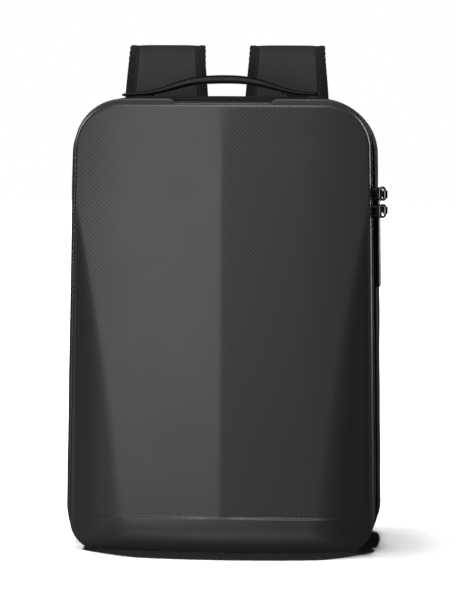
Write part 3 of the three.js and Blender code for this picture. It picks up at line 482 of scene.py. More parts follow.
def woven_polyester(name, low, high, pitch, source="Object", depth=0.12, roughness=0.85, sheen=0.1):
    """Plain woven polyester: matt, with threads that go over and under each other, so the weave reads as
    rows of small bumps, and a faint sheen."""
    material, tree, shader = new_material(
        name, Roughness=roughness, IOR=1.5, Sheen_Weight=sheen, Sheen_Roughness=0.5
    )
    spot = places(tree, source)
    upright = (0, 0.5 / pitch, 0) if source == "cloth" else (0, 0, 0.5 / pitch)
    level = (0.5 / pitch, 0, 0) if source == "cloth" else (0.5 / pitch, 0.5 / pitch, 0)
    weave = product(tree, wave(tree, spot, upright), wave(tree, spot, level))
    raise_surface(tree, shader, weave, depth)
    shade = span(tree, weave, -1, 1, 0.25, 0.75)
    worn = node(tree, "ShaderNodeMath", {0: shade, 1: mottle(tree, spot, 14)}, operation="ADD")
    base = mixed(tree, span(tree, worn.outputs[0], 0.5, 1.5, 0, 1), colour(low), colour(high))
    feed(tree, shader, Base_Color=base)
    return material


def ribbed_nylon(name, low, high, pitch, depth=0.25):
    """Grosgrain or webbing of nylon: ribs across its length, each crossed by the warp, so light catches in
    short bars, with a low sheen."""
    material, tree, shader = new_material(name, Roughness=0.7, IOR=1.53, Sheen_Weight=0.1)
    spot = places(tree, "cloth")
    ribs = wave(tree, spot, (0, 1 / pitch, 0))
    warp = wave(tree, spot, (0.6 / pitch, 0, 0))
    both = node(tree, "ShaderNodeMath", {0: warp, 1: 0.35, 2: ribs}, operation="MULTIPLY_ADD").outputs[0]
    raise_surface(tree, shader, both, depth)
    base = mixed(tree, span(tree, both, -1, 1, 0, 1), colour(low), colour(high))
    feed(tree, shader, Base_Color=base)
    return material


def air_mesh():
    """Knitted spacer mesh: a matt grid of round openings, whose darker colour is painted shade in the holes.
    """
    material, tree, shader = new_material("air_mesh", Roughness=0.9, IOR=1.5, Sheen_Weight=0.2)
    spot = places(tree)
    pitch = 3.4
    cells = node(
        tree, "ShaderNodeTexVoronoi", {"Vector": spot, "Scale": 1 / pitch, "Randomness": 0.12}
    ).outputs["Distance"]
    yarn = span(tree, cells, 0.22, 0.42, 0, 1)
    raise_surface(tree, shader, yarn, 0.7)
    # Painted shade: the openings are darker than the yarn, for the shade inside them
    feed(tree, shader, Base_Color=mixed(tree, yarn, colour("0e0e0f"), colour("333437")))
    return material


def satin_plastic(name, code, roughness, grain=0.8, depth=0.02):
    """Moulded plastic or rubber with a spark-eroded grain: satin, with softly broken highlights."""
    material, tree, shader = new_material(name, Base_Color=colour(code), Roughness=roughness, IOR=1.5)
    spot = places(tree)
    raise_surface(tree, shader, mottle(tree, spot, grain, 2.0), depth)
    worn = span(tree, mottle(tree, spot, 6), 0.3, 0.7, roughness - 0.05, roughness + 0.05)
    feed(tree, shader, Roughness=worn)
    return material


def plated_zinc():
    """Die-cast zinc with a dark nickel plating: smooth and tight in its highlights, a little uneven."""
    material, tree, shader = new_material("plated_zinc", Metallic=1.0, Roughness=0.3)
    spot = places(tree)
    base = mixed(tree, mottle(tree, spot, 3), colour("545457"), colour("6e6e71"))
    rough = span(tree, mottle(tree, spot, 2), 0.3, 0.7, 0.24, 0.38)
    feed(tree, shader, Base_Color=base, Roughness=rough)
    return material


def painted_floor():
    """A plain pale matt floor."""
    material, tree, shader = new_material("matt_paint", Roughness=1.0, Specular_IOR_Level=0.0)
    base = mixed(tree, mottle(tree, places(tree), 400), colour("f4f4f4"), colour("f8f8f8"))
    feed(tree, shader, Base_Color=base)
    return material


SHELL_FINISH = moulded_abs()
BODY_FINISH = woven_polyester("woven_polyester", "151618", "232426", 1.3, sheen=0.03)
LINING_FINISH = woven_polyester("zip_tape_weave", "060607", "0e0e0f", 0.8, sheen=0.0)
STRAP_FINISH = woven_polyester("brushed_polyester", "353537", "404042", 0.7, "cloth", 0.04, 0.8, 0.05)
BAND_FINISH = woven_polyester("stitched_band", "161617", "242425", 1.1, "cloth", 0.15)
BINDING_FINISH = ribbed_nylon("grosgrain", "090909", "131314", 1.4)
WEBBING_FINISH = ribbed_nylon("ribbed_webbing", "0e0e0f", "242426", 1.9)
THREAD_FINISH = ribbed_nylon("sewing_thread", "3a3a3c", "4a4a4d", 0.5, 0.05)
MESH_FINISH = air_mesh()
CROWN_FINISH = satin_plastic("black_plating", "121213", 0.36, 0.6, 0.01)
HANDLE_FINISH = satin_plastic("moulded_tpu", "171718", 0.58)
TRIM_FINISH = satin_plastic("moulded_acetal", "121213", 0.45)
# The handle's feet are near black as painted shade, standing for the shadow under the handle
FOOT_SHADE_FINISH = satin_plastic("shade_darkened_matt", "070707", 0.9)
NYLON_FINISH = satin_plastic("nylon_coil", "0c0c0d", 0.4, 0.5, 0.01)
ZINC_FINISH = plated_zinc()


# Outlines
def shell_half_width(z):
    """Half the shell's width, which falls evenly with height."""
    return SHELL_HALF_WIDTH - SHELL_LEAN * z


def body_half_width(z):
    """Half the rear body's width, which falls evenly with height."""
    return BODY_HALF_WIDTH - BODY_LEAN * z


def row_heights(foot, top, foot_radius, top_radius, arc_steps, side_step, extra=()):
    """Heights of an outline's rows: even angles round the foot and the top, even steps between, and some
    extra ones."""
    arc = np.linspace(0, np.pi / 2, arc_steps + 1)
    low = foot + foot_radius * (1 - np.cos(arc))
    high = top - top_radius * (1 - np.cos(arc))[::-1]
    sides = np.linspace(low[-1], high[0], int((high[0] - low[-1]) / side_step) + 1)
    return np.unique(np.round(np.concatenate([low[:-1], sides, high[1:], extra]), 4))


def outline(heights, foot, top, half_width, foot_radius, top_radius):
    """A rounded outline at given heights: its half width, and its edge's outward direction as a part
    across and a part up, which turns as a circle round the foot and round the top."""
    low = np.clip((foot + foot_radius - heights) / foot_radius, 0, 1)
    high = np.clip((heights - (top - top_radius)) / top_radius, 0, 1)
    up = high - low
    across = np.sqrt(np.maximum(1 - up**2, 0))
    radius = np.where(low > 0, foot_radius, top_radius)
    straight = half_width(np.clip(heights, foot + foot_radius, top - top_radius))
    return straight - radius * (1 - across), across, up


def round_edge(grid):
    """The edge of a grid as one closed line, from its lower left corner over its foot, right side, top and
    left side."""
    return np.concatenate([grid[0], grid[1:-1, -1], grid[-1, ::-1], grid[-2::-1, 0]])


def edge_line(heights, half, across, up, shares, *fields):
    """The closed edge of an outline's grid: across and up, the outward direction's part across and its part
    up, and any other fields, which are given for the grid or for each row."""
    x = half[:, None] * shares
    rows = [v if v.ndim > 1 else np.broadcast_to(v[:, None], x.shape) for v in (heights, up, *fields)]
    at_x, out_x, at_z, out_z, *rest = round_edge(np.stack([x, across[:, None] * shares, *rows], -1)).T
    return at_x, at_z, out_x, out_z, *rest


# Front shell
def shield_depth(x, z):
    """Depth of the face above the ledge: a crest that leans and bows back, less a slope away from the
    crease, which is a hyperbola at its top, and less a square law past the shoulder."""
    up = np.clip((z - LEDGE_HEIGHT) / (SHELL_TOP - LEDGE_HEIGHT), 0, 1)
    crest = CREST_DEPTH - CREST_LEAN * up - CREST_BOW * up * up
    soft = smooth(z, SHELL_TOP - CREASE_SOFT_LENGTH, SHELL_TOP)
    radius = CREASE_RADIUS + (CREASE_TOP_RADIUS - CREASE_RADIUS) * soft
    ridge = np.hypot(x, radius) - radius
    beyond = np.maximum(0, np.abs(x) - SHOULDER_START) / (SHELL_HALF_WIDTH - SHOULDER_START)
    return crest - RIDGE_SLOPE * ridge - SHOULDER_DROP * beyond * beyond * up


def bumper_depth(x, z):
    """Depth of the foot bumper: a bow across, and a quarter circle down to the foot."""
    fall = np.clip(BUMPER_RADIUS - z, 0, BUMPER_RADIUS)
    turn = np.sqrt(BUMPER_RADIUS**2 - fall**2) - BUMPER_RADIUS
    return CREST_DEPTH + LEDGE_STEP - BUMPER_BOW * (x / FACET_FOOT_REACH) ** 2 + turn


def facet_depth(x, z):
    """Depth of the flat side facet: a plane through its inner corner and its outer edge."""
    inner = CREST_DEPTH - RIDGE_SLOPE * (math.hypot(FACET_FOOT_REACH, CREASE_RADIUS) - CREASE_RADIUS)
    foot_edge = shell_half_width(LEDGE_HEIGHT)
    slope = (inner - FACET_FOOT_DEPTH) / (foot_edge - FACET_FOOT_REACH)
    top_rise = FACET_TOP_DEPTH - FACET_FOOT_DEPTH - slope * (foot_edge - shell_half_width(FACET_TOP))
    rise = top_rise / (FACET_TOP - LEDGE_HEIGHT)
    return FACET_FOOT_DEPTH + slope * (foot_edge - np.abs(x)) + rise * (z - LEDGE_HEIGHT)


def face_depth(x, z):
    """Depth of the shield and the bumper, eased into each other over the ledge, which sags to both sides
    by a square law."""
    sagged = z + LEDGE_SAG * (x / FACET_FOOT_REACH) ** 2
    above = smooth(sagged, LEDGE_HEIGHT - LEDGE_SOFT, LEDGE_HEIGHT + LEDGE_SOFT)
    return bumper_depth(x, z) + (shield_depth(x, z) - bumper_depth(x, z)) * above


def facet_blend(z):
    """Depth over which the facet's inner edge is rounded, more towards the foot."""
    up = np.clip((z - LEDGE_HEIGHT) / (FACET_TOP - LEDGE_HEIGHT), 0, 1)
    return FACET_SOFT_FOOT + (FACET_SOFT_TOP - FACET_SOFT_FOOT) * up


def shell_depth(x, z):
    """Depth of the shell ahead of its rim: the lesser of face and facet, rounded where they meet."""
    depth = soft_min(face_depth(x, z), facet_depth(x, z), facet_blend(z))
    return np.maximum(depth, BEAD_WIDTH + 1)


def shell_outline(heights):
    """The shell's outline at given heights."""
    return outline(heights, 0, SHELL_TOP, shell_half_width, SHELL_FOOT_RADIUS, SHELL_TOP_RADIUS)


def shell_columns(z, edge):
    """Places across each row: close together at the crease and on both sides of the facet's inner edge,
    which is found by stepping to where face and facet are level."""
    slope = 0.664  # difference of slope between facet and face
    corner = np.full(len(z), 120.0)
    for _ in range(12):
        corner -= (face_depth(corner, z) - facet_depth(corner, z)) / slope
        corner = np.clip(corner, 60, edge * 0.965)
    reach = np.minimum(facet_blend(z) / slope, (edge - corner) * 0.96)
    crease = np.array([0, 0.5, 1.1, 1.9, 3, 4.6, 6.6, 9])
    columns = [np.broadcast_to(crease, (len(z), len(crease)))]
    for start, stop, count in (
        (np.full(len(z), crease[-1]), corner - reach, 24),
        (corner - reach, corner + reach, 10),
        (corner + reach, edge, 9),
    ):
        share = np.arange(1, count + 1) / count
        columns.append(start[:, None] + (stop - start)[:, None] * share)
    right = np.concatenate(columns, axis=1)
    return np.concatenate([-right[:, :0:-1], right], axis=1)


def front_shell():
    """Moulded front shell: a face on a grid, a rounded edge, a drafted wall, a rim bead that is half a
    superellipse of the fourth power, and a lining one wall inside."""
    ledge = LEDGE_HEIGHT + np.linspace(-5, 3, 24)
    heights = row_heights(0, SHELL_TOP, SHELL_FOOT_RADIUS, SHELL_TOP_RADIUS, 20, 3.6, ledge)
    half, across, up = shell_outline(heights)
    footward = np.clip(-2 * up, 0, 1)
    draft = (SIDE_DRAFT + (TOP_DRAFT - SIDE_DRAFT) * np.maximum(up, 0) ** 2) * (1 - footward)
    fillet = EDGE_FILLET + (FOOT_FILLET - EDGE_FILLET) * footward
    proud = BEAD_PROUD * (1 - footward)
    wall = proud + draft
    inset = wall + fillet
    edge = half - inset * across
    z = heights - inset * up
    x = shell_columns(z, edge)
    z = np.broadcast_to(z[:, None], x.shape)
    depth = shell_depth(x, z)
    face = np.stack([x, RIM_FRONT_Y - depth, z], -1)

    share = x / edge[:, None]
    lining_inset = wall + SHELL_WALL + fillet * 0.6
    lining_x = share * (half - lining_inset * across)[:, None]
    lining_z = np.broadcast_to((heights - lining_inset * up)[:, None], x.shape)
    lowered = lining_z - SHELL_WALL * (1 - smooth(lining_z, 0, SHELL_FOOT_RADIUS))
    lining_depth = shell_depth(lining_x, np.maximum(lowered, 0)) - SHELL_WALL
    lining = np.stack([lining_x, RIM_FRONT_Y - lining_depth, lining_z], -1)

    line = edge_line(heights, half, across, up, share, depth, fillet, wall, proud)
    at_x, at_z, out_x, out_z, at_depth, at_fillet, at_wall, at_proud = line
    dip = NOTCH_DEPTH * (1 - smooth(np.abs(at_x), NOTCH_HALF_WIDTH, NOTCH_HALF_WIDTH + NOTCH_RAMP))
    dip = np.where(out_z > 0.9999, dip, 0)
    turn = np.minimum(at_fillet, (at_depth - BEAD_WIDTH) * 0.6)

    def ring(inward, deep):
        deep = np.broadcast_to(deep, at_x.shape)
        return np.stack([at_x - inward * out_x, RIM_FRONT_Y - deep, at_z - inward * out_z], -1)

    rings = [round_edge(face)]
    for angle in np.radians(np.arange(15, 91, 15)):
        inward = at_wall + at_fillet * (1 - math.sin(angle))
        rings.append(ring(inward, at_depth - turn * (1 - math.cos(angle))))
    for part in (0.5, 0.9):
        top = at_depth - turn
        inward = at_wall + (at_proud + dip - at_wall) * part
        rings.append(ring(inward, top + (BEAD_WIDTH + 0.3 - top) * part))
    for angle in np.radians(np.linspace(0, 180, 11)):
        inward = at_proud * (1 - abs(math.sin(angle)) ** 0.5) + dip
        across_bead = math.copysign(abs(math.cos(angle)) ** 0.5, math.cos(angle))
        rings.append(ring(inward, BEAD_WIDTH / 2 * (1 + across_bead)))
    inner = BEAD_PROUD + SHELL_WALL + dip
    rings.append(ring(inner, 0))
    rings.append(ring(np.maximum(at_wall + SHELL_WALL, inner), np.maximum(at_depth - SHELL_WALL - turn, 2)))
    rings.append(round_edge(lining))
    patches = [patch(face), patch(np.stack(rings)), patch(lining)]
    return make("moulded_shell", patches, [SHELL_FINISH], ["front_shell"], sharp=50)


# Rear body
def missing_bulge(depth):
    """How far the body's side still is from its fullest, behind the zip: a cosine from the lip to a little
    past the middle of its depth."""
    share = np.clip(depth / (BODY_DEPTH * 0.63), 0, 1)
    return BODY_BULGE * (0.5 + 0.5 * np.cos(np.pi * share))


def top_fall(x, z):
    """Fall of the body's top away from its middle: a square law across, eased in over the top corner."""
    start = CASE_HEIGHT - BODY_TOP_RADIUS * 1.5
    return BODY_TOP_CROWN * (x / BODY_HALF_WIDTH) ** 2 * smooth(z, start, CASE_HEIGHT)


def ripple(along, depth):
    """Slight unevenness of stretched cloth: three slow sine waves that run round the body."""
    return (
        0.28 * np.sin(along / 41 + depth / 19)
        + 0.2 * np.sin(along / 23 - depth / 13 + 1.3)
        + 0.12 * np.sin(along / 11 + depth / 7 + 0.4)
    )


def rear_body():
    """Soft rear body: a flat back on a grid, a quarter circle to the sides, sides that swell behind the zip
    and have a pressed seam, a rolled lip and a lining one wall inside."""
    heights = row_heights(0, CASE_HEIGHT, BODY_FOOT_RADIUS, BODY_TOP_RADIUS, 16, 8)
    half, across, up = outline(
        heights, 0, CASE_HEIGHT, body_half_width, BODY_FOOT_RADIUS, BODY_TOP_RADIUS
    )
    shares = np.linspace(-1, 1, 31)

    def grid(inset, depth):
        x = (half - inset * across)[:, None] * shares
        z = np.broadcast_to((heights - inset * up)[:, None], x.shape)
        return np.stack([x, np.full(x.shape, BODY_FRONT_Y + depth), z - top_fall(x, z)], -1)

    back = grid(BODY_BACK_RADIUS, BODY_DEPTH)
    lining = grid(BODY_BACK_RADIUS, BODY_DEPTH - BODY_WALL)
    at_x, at_z, out_x, out_z = edge_line(heights, half, across, up, shares)
    side = np.sqrt(np.maximum(1 - out_z**2, 0))
    along = lengths_along(np.stack([at_x, at_z], -1))
    calm = 1 - smooth(-out_z, 0.3, 0.8)  # the base stays flat on the floor

    def ring(inset, depth, wave=0.0):
        inset = np.broadcast_to(inset - wave * calm * ripple(along, depth), at_x.shape)
        ring_x = at_x - inset * out_x
        ring_z = at_z - inset * out_z
        height = ring_z - top_fall(ring_x, ring_z)
        return np.stack([ring_x, np.full(ring_x.shape, BODY_FRONT_Y + depth), height], -1)

    rings = [round_edge(back)]
    for angle in np.radians(np.arange(9, 90, 9)):
        bend = BODY_BACK_RADIUS * (1 - math.sin(angle))
        depth = BODY_DEPTH - BODY_BACK_RADIUS * (1 - math.cos(angle))
        rings.append(ring(bend + 0.35, depth, math.sin(angle) * 0.5))
    seam = BODY_DEPTH - BODY_BACK_RADIUS - 2
    depths = np.concatenate([[seam + 1.6, seam + 0.7, seam, seam - 0.7, seam - 1.6], np.linspace(50, 5, 24)])
    for depth in depths:
        groove = 0.9 * math.exp(-(((depth - seam) / 0.8) ** 2))
        swell = missing_bulge(depth) * side
        rings.append(ring(swell + groove + 0.35, depth, smooth(depth, 5, 16)))
    for angle in np.radians(np.arange(0, 91, 15)):
        inset = BODY_LIP_RADIUS * (1 - math.cos(angle))
        rings.append(ring(missing_bulge(0) * side + inset + 0.2, BODY_LIP_RADIUS * (1 - math.sin(angle))))
    rings.append(ring(missing_bulge(0) * side + BODY_LIP_RADIUS + BODY_WALL, 0))
    rings.append(ring(BODY_BULGE + BODY_LIP_RADIUS + BODY_WALL, BODY_LIP_RADIUS))
    rings.append(ring(BODY_WALL + BODY_BULGE, BODY_LIP_RADIUS * 3))
    rings.append(ring(BODY_WALL + 1, BODY_DEPTH - BODY_BACK_RADIUS))
    rings.append(round_edge(lining))
    patches = [patch(back), patch(np.stack(rings)), patch(lining)]
    make("soft_body", patches, [BODY_FINISH], ["rear_body"], sharp=60)


# Zip
def rim_line(step=3.0):
    """The shell's outline as a closed line: its points at the outside, its outward direction and its
    length, with rows and columns a step apart."""
    heights = row_heights(0, SHELL_TOP, SHELL_FOOT_RADIUS, SHELL_TOP_RADIUS, 16, step)
    half, across, up = shell_outline(heights)
    shares = np.linspace(-1, 1, 61)
    at_x, at_z, out_x, out_z = edge_line(heights, half, across, up, shares)
    spot = np.stack([at_x, np.zeros_like(at_x), at_z], -1)
    out = np.stack([out_x, np.zeros_like(out_x), out_z], -1)
    return spot, out, lengths_along(spot)


def zip_band():
    """Woven zip tape between shell and body: the rim's line carried along a flat section with a low bead
    at each edge, where it is sewn in."""
    spot, out, along = rim_line()
    front, back = RIM_FRONT_Y + FIT_GAP, BODY_FRONT_Y - FIT_GAP
    outer = [(0, 0), (0.12, -0.5), (0.25, 0), (0.5, 0.15), (0.75, 0), (0.88, -0.5), (1, 0)]
    profile = np.array(outer + [(1, 1), (0, 1), (0, 0)])
    deep = TAPE_INSET + np.where(profile[:, 1] == 1, TAPE_THICKNESS, profile[:, 1])
    y = front + (back - front) * profile[:, 0]
    points = spot[:, None] - deep[None, :, None] * out[:, None]
    points[..., 1] = y
    cloth = np.stack(np.broadcast_arrays(y[None], along[:, None]), -1)
    make("zip_band", [patch(points, cloth)], [LINING_FINISH], ["zip_tape"])


def zip_teeth():
    """Coil of the zip: one rounded bar for each turn, at even steps along the rim's line, from low on one
    side over the top to low on the other."""
    spot, out, along = rim_line(1.5)
    middle = (RIM_FRONT_Y + BODY_FRONT_Y) / 2
    stops = np.arange(0, along[-1], TOOTH_PITCH)
    at, outward = sampled(stops, along, spot), unit(sampled(stops, along, out))
    kept = (at[:, 2] > COIL_END_HEIGHT) & (outward[:, 2] > -0.9)
    at, outward = at[kept], outward[kept]
    middles = at - (TAPE_INSET - FIT_GAP) * outward + (0, middle, 0)
    sideways = np.broadcast_to([0.0, 1.0, 0.0], outward.shape)
    axes = np.stack([sideways, np.cross(outward, sideways), outward], 1)
    arch = np.array([(-0.5, 0.1), (-0.42, 0.62), (-0.22, 0.95), (0.22, 0.95), (0.42, 0.62), (0.5, 0.1)])
    ring = np.array([(-0.5, 0), (-0.3, 0.1), (0.3, 0.1), (0.5, 0)])
    tooth, height = TOOTH_PITCH * 0.86, COIL_HEIGHT * 0.9
    template = np.array(
        [(a * COIL_WIDTH, r * tooth, (b + lift) * height) for a, b in arch for r, lift in ring]
    )
    ids, faces = quads(len(arch), len(ring))
    under = np.stack([ids[:-1, -1], ids[:-1, 0], ids[1:, 0], ids[1:, -1]], -1)
    ends = np.array([ids[0, ::-1], ids[-1]])
    faces = np.concatenate([faces, under, ends])
    teeth = copies(template, faces, middles, axes)
    make("zip_teeth", [teeth], [NYLON_FINISH], ["zip_coil"], weld=0.0001)


# Zip sliders
def rounded_block(start, stop, half_y, half_z, edge, middle):
    """A block along X between two places: nearly rectangular rings, drawn in by a quarter circle at both
    ends, round a middle in Y and Z."""
    turn = np.radians([0, 30, 60, 90])
    inward = edge * (1 - np.sin(turn))
    step = edge * (1 - np.cos(turn))
    x = np.concatenate([start + step, stop - step[::-1]])
    inward = np.concatenate([inward, inward[::-1]])
    ring = wheel(1, 1, 5, 28)
    y = middle[0] + ring[:, 0] * (half_y - inward)[:, None]
    z = middle[1] + ring[:, 1] * (half_z - inward)[:, None]
    return patch(closed_ends(np.stack([np.broadcast_to(x[:, None], y.shape), y, z], -1)))


def zip_slider(place, sense):
    """Zip slider: a rounded neck over the coil, a plate on it, and a bowed crown, which is an ellipse
    carried along a curve from one end of the plate to the other."""
    middle = SLIDER_MEETING_HEIGHT + sense * (SLIDER_LENGTH + SLIDER_SPACING) / 2
    coil_x = shell_half_width(middle) - TAPE_INSET + FIT_GAP + COIL_HEIGHT
    plate_outer = coil_x + SLIDER_RISE
    plate_inner = plate_outer - SLIDER_PLATE_THICKNESS
    y = (RIM_FRONT_Y + BODY_FRONT_Y) / 2
    half, place_yz = SLIDER_LENGTH / 2, (y, middle)
    neck = rounded_block(coil_x + FIT_GAP, plate_inner + 1, SLIDER_NECK_REACH, half - 1, 0.8, place_yz)
    plate = rounded_block(plate_inner, plate_outer, SLIDER_PLATE_REACH, half, 0.7, place_yz)
    bow = spline(
        [
            (-0.8, 5.7),
            (0.9, 5.9),
            (2.2, 5.5),
            (3.1, 4.2),
            (CROWN_RISE, 2.2),
            (CROWN_RISE, -0.6),
            (CROWN_RISE, -3.4),
            (3.0, -5.2),
            (1.8, -5.8),
            (-0.8, -5.6),
        ],
        46,
    )
    points = np.stack([plate_outer + bow[:, 0], np.full(46, y), middle + sense * bow[:, 1]], -1)
    _, across, out = guides(points, np.broadcast_to([0.0, 1.0, 0.0], points.shape))
    crown = sweep(points, across, out, wheel(CROWN_BAR_RADIUS, CROWN_BAR_RADIUS, 2.2, 16))
    parts = [neck[:3] + (1,), plate, patch(closed_ends(crown), None, 1)]
    make(f"zip_slider_{place}", parts, [ZINC_FINISH, CROWN_FINISH], [f"slider_{place}"])


# Back panel
def inflated(points, held, cap):
    """Blows a sheet up by a cloth simulation, with its edge held, and returns its points, none of which
    has moved by more than the cap."""
    flat, faces, *_ = patch(points)
    mesh = bpy.data.meshes.new("inflating")
    mesh.from_pydata((flat * MM).tolist(), [], faces.tolist())
    sheet = bpy.data.objects.new("inflating", mesh)
    bpy.context.scene.collection.objects.link(sheet)
    group = sheet.vertex_groups.new(name="held")
    group.add(np.flatnonzero(held.ravel()).tolist(), 1.0, "REPLACE")
    cloth = sheet.modifiers.new("inflating", "CLOTH")
    settings = cloth.settings
    settings.vertex_group_mass = "held"
    settings.use_pressure = True
    settings.uniform_pressure_force = PAD_PRESSURE
    settings.effector_weights.gravity = 0
    settings.quality = 6
    settings.shrink_min = settings.shrink_max = PAD_SHRINK
    cloth.point_cache.frame_end = PAD_STEPS
    for step in range(1, PAD_STEPS + 1):
        bpy.context.scene.frame_set(step)
    moved = sheet.evaluated_get(bpy.context.evaluated_depsgraph_get()).to_mesh()
    blown = np.empty(flat.size, np.float32)
    moved.vertices.foreach_get("co", blown)
    bpy.data.objects.remove(sheet)
    bpy.data.meshes.remove(mesh)
    bpy.context.scene.frame_set(1)
    shift = blown.reshape(flat.shape) / MM - flat
    size = np.linalg.norm(shift, axis=1, keepdims=True)
    shift *= np.minimum(1, cap / np.maximum(size, 1e-6))
    return (flat + shift).reshape(points.shape)


def back_panel():
    """Back panel: a thin plate with a rolled edge and two pads on it. A pad is a sheet on a rounded
    rectangle, raised by the product of two eased ramps and blown up by the simulation."""
    start = BACK_FACE_Y + FIT_GAP
    heights = row_heights(PANEL_FOOT_HEIGHT, PANEL_TOP_HEIGHT, PANEL_RADIUS, PANEL_RADIUS, 14, 12)
    half, across, up = outline(
        heights, PANEL_FOOT_HEIGHT, PANEL_TOP_HEIGHT, lambda z: PANEL_HALF_WIDTH + 0 * z,
        PANEL_RADIUS, PANEL_RADIUS,
    )
    shares = np.linspace(-1, 1, 25)

    def layer(inset, lift):
        x = (half - inset * across)[:, None] * shares
        z = np.broadcast_to((heights - inset * up)[:, None], x.shape)
        return np.stack([x, np.full(x.shape, start + lift), z], -1)

    inset = 0.6 * PANEL_EDGE
    edge = [
        round_edge(layer(inset * (1 - math.sin(a)), PANEL_EDGE * (0.5 + 0.5 * math.cos(a))))
        for a in np.radians(np.linspace(0, 180, 11))
    ]
    base = [patch(layer(inset, PANEL_EDGE)), patch(np.stack(edge)), patch(layer(inset, 0))]
    make("panel_base", base, [BODY_FINISH], ["back_panel"])

    foot, top, radius = PANEL_FOOT_HEIGHT + PAD_INSET, PANEL_TOP_HEIGHT - PAD_INSET, PAD_RADIUS
    low_x, high_x = PANEL_CHANNEL / 2 + 1, PANEL_HALF_WIDTH - PAD_INSET
    reach = (high_x - low_x) / 2
    heights = row_heights(foot, top, radius, radius, 9, 3.4)
    half, _, _ = outline(heights, foot, top, lambda z: reach + 0 * z, radius, radius)
    shares = np.sin(np.linspace(-np.pi / 2, np.pi / 2, 35))
    aside = half[:, None] * shares
    z = np.broadcast_to(heights[:, None], aside.shape)
    from_side = reach - np.abs(aside)
    from_end = np.minimum(z - foot, top - z)
    lift = PANEL_LOBE * 0.9 * np.sqrt(smooth(from_side, 0, PAD_SIDE_RISE) * smooth(from_end, 0, PAD_END_RISE))
    held = np.zeros(aside.shape, bool)
    held[[0, -1]] = True
    held[:, [0, -1]] = True
    lift = np.where(held, 0, lift)
    for place, side in (("left", -1), ("right", 1)):
        middle = side * (low_x + high_x) / 2
        pad = np.stack([middle - side * aside, start + PANEL_EDGE + lift, z], -1)
        under = np.stack([middle - side * aside, np.full(z.shape, start + PANEL_EDGE - 0.5), z], -1)
        pad = inflated(pad, held, PAD_CAP)
        pad[..., 1] = np.minimum(pad[..., 1], start + PANEL_EDGE + PANEL_LOBE + 0.4)
        seam = np.stack([round_edge(pad), round_edge(under)])
        parts = [patch(pad), patch(seam), patch(under)]
        piece = make(f"panel_pad_{place}", parts, [MESH_FINISH], sharp=80)


# Shoulder straps
def strap_place(side, rows):
    """Points of a strap's course, from its rows."""
    back, height, aside = np.asarray(rows, float).T[:3]
    rise = CASE_HEIGHT + STRAP_RISE - STRAP_END_HEIGHT
    y = BACK_FACE_Y + 2 * FIT_GAP + back * STRAP_THICKNESS
    x = side * (STRAP_SPACING / 2 + aside * STRAP_WIDTH)
    return np.stack([x, y, STRAP_END_HEIGHT + height * rise], -1)


def strap_lift(share, sense):
    """How far a strap's outer face (sense 1) or its inner one (-1) lies out of its course at a share of its
    half width: the padding between the bands is a superellipse of the fourth power, and is nearly all on
    the inner side."""
    padding = np.maximum(1 - (np.abs(share) / BAND_SHARE) ** 4, 0) ** 0.45
    outer = np.asarray(sense) > 0
    flat, full = np.where(outer, 0.9, 0.35), np.where(outer, 0.1, -1.35)
    return STRAP_THICKNESS / 2 * (flat + full * padding)


